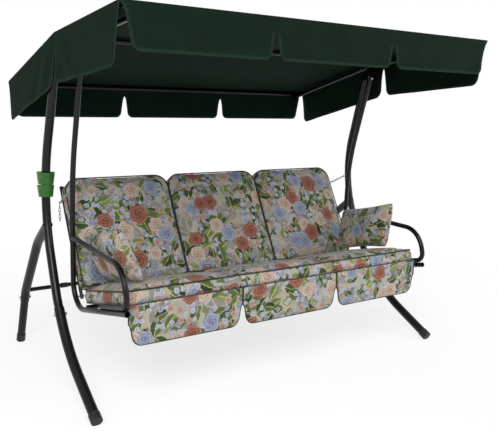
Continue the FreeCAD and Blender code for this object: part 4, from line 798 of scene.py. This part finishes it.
edge_x, lip = half_roof, 0.0009
valance("valance_front", (-edge_x, -reach - lip, 1.629), (edge_x, -reach - lip, 1.629), 0.167, 3,
        0.062, 0.022, 0.030, (0, -1, 0), 1.3)
valance("valance_rear", (edge_x, reach + lip, 1.377), (-edge_x, reach + lip, 1.377), 0.181, 3,
        0.062, 0.022, 0.030, (0, 1, 0), 4.1)
side_drop, side_slit, side_notch, side_round, side_long = 0.214, 0.062, 0.022, 0.036, 1.49
for side, way in (("left", -1), ("right", 1)):
    fresh()
    halves = []
    for k, (one, two) in enumerate(((front_top, ridge_top), (ridge_top, rear_top))):
        half = abs(two[0] - one[0]) / 2
        sheared = hanging_grid("valance", 40, 34, half, side_drop, side_slit, side_notch, side_round,
                               (k == 0, k == 1))
        middle = ((one[0] + two[0]) / 2, (one[1] + two[1]) / 2)
        slope = (two[1] - one[1]) / (two[0] - one[0])
        co = np.array([v.co[:] for v in sheared.data.vertices])
        x, down = co[:, 0], -co[:, 2]
        part = down / side_drop
        corner_pull = np.exp(-((x + half * (1 if k else -1)) / 0.25) ** 2)
        wave = (0.0028 * np.sin(x * 9 + k * 2 + way) + 0.0015 * np.sin(x * 23 + k)) * part ** 1.3
        toward = half - x if k == 0 else half + x
        fold_and_hem_highlight = np.sin(toward * 34 - down * 30)
        wave += 0.0085 * np.sign(fold_and_hem_highlight) * np.abs(fold_and_hem_highlight) ** 1.5 * corner_pull * part * (1 - part * 0.4)
        wave += 0.0034 * part
        spots = np.stack([way * (edge_x + lip + wave), middle[0] + x,
                          middle[1] + slope * x - 0.001 - down], 1)
        sheared.data.vertices.foreach_set("co", spots.ravel())
        sheared.data.update()
        halves.append(sheared)
    fresh()
    for piece in halves:
        piece.select_set(True)
    bpy.context.view_layer.objects.active = halves[0]
    bpy.ops.object.join()
    obj = bpy.context.view_layer.objects.active
    bpy.ops.object.mode_set(mode="EDIT")
    bpy.ops.mesh.select_all(action="SELECT")
    bpy.ops.mesh.remove_doubles(threshold=0.0003)
    bpy.ops.object.mode_set(mode="OBJECT")
    if obj.data.polygons[len(obj.data.polygons) // 2].normal.x * way < 0:
        obj.data.flip_normals()
    soft_sheet(obj, f"valance_{side}", (7.1 + way, 2.2))

# A zinc-plated chain on each side runs from the hanger's eye to the backrest's hook, reaching from one body to
# the other. Each is a copy of the model's chain with its doubled points merged and its faces smoothed.
for side in ("left", "right"):
    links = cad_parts[f"chain_{side}"].copy()
    links.data = links.data.copy()
    links.name = f"links_{side}"
    links.parent = None
    links.matrix_world = Matrix.Identity(4)
    bpy.context.scene.collection.objects.link(links)
    fresh()
    links.select_set(True)
    bpy.context.view_layer.objects.active = links
    bpy.ops.object.mode_set(mode="EDIT")
    bpy.ops.mesh.select_all(action="SELECT")
    bpy.ops.mesh.remove_doubles(threshold=0.00001)
    bpy.ops.object.mode_set(mode="OBJECT")
    bpy.ops.object.shade_smooth_by_angle(angle=math.radians(40))
    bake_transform(links)
    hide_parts(f"chain_{side}")
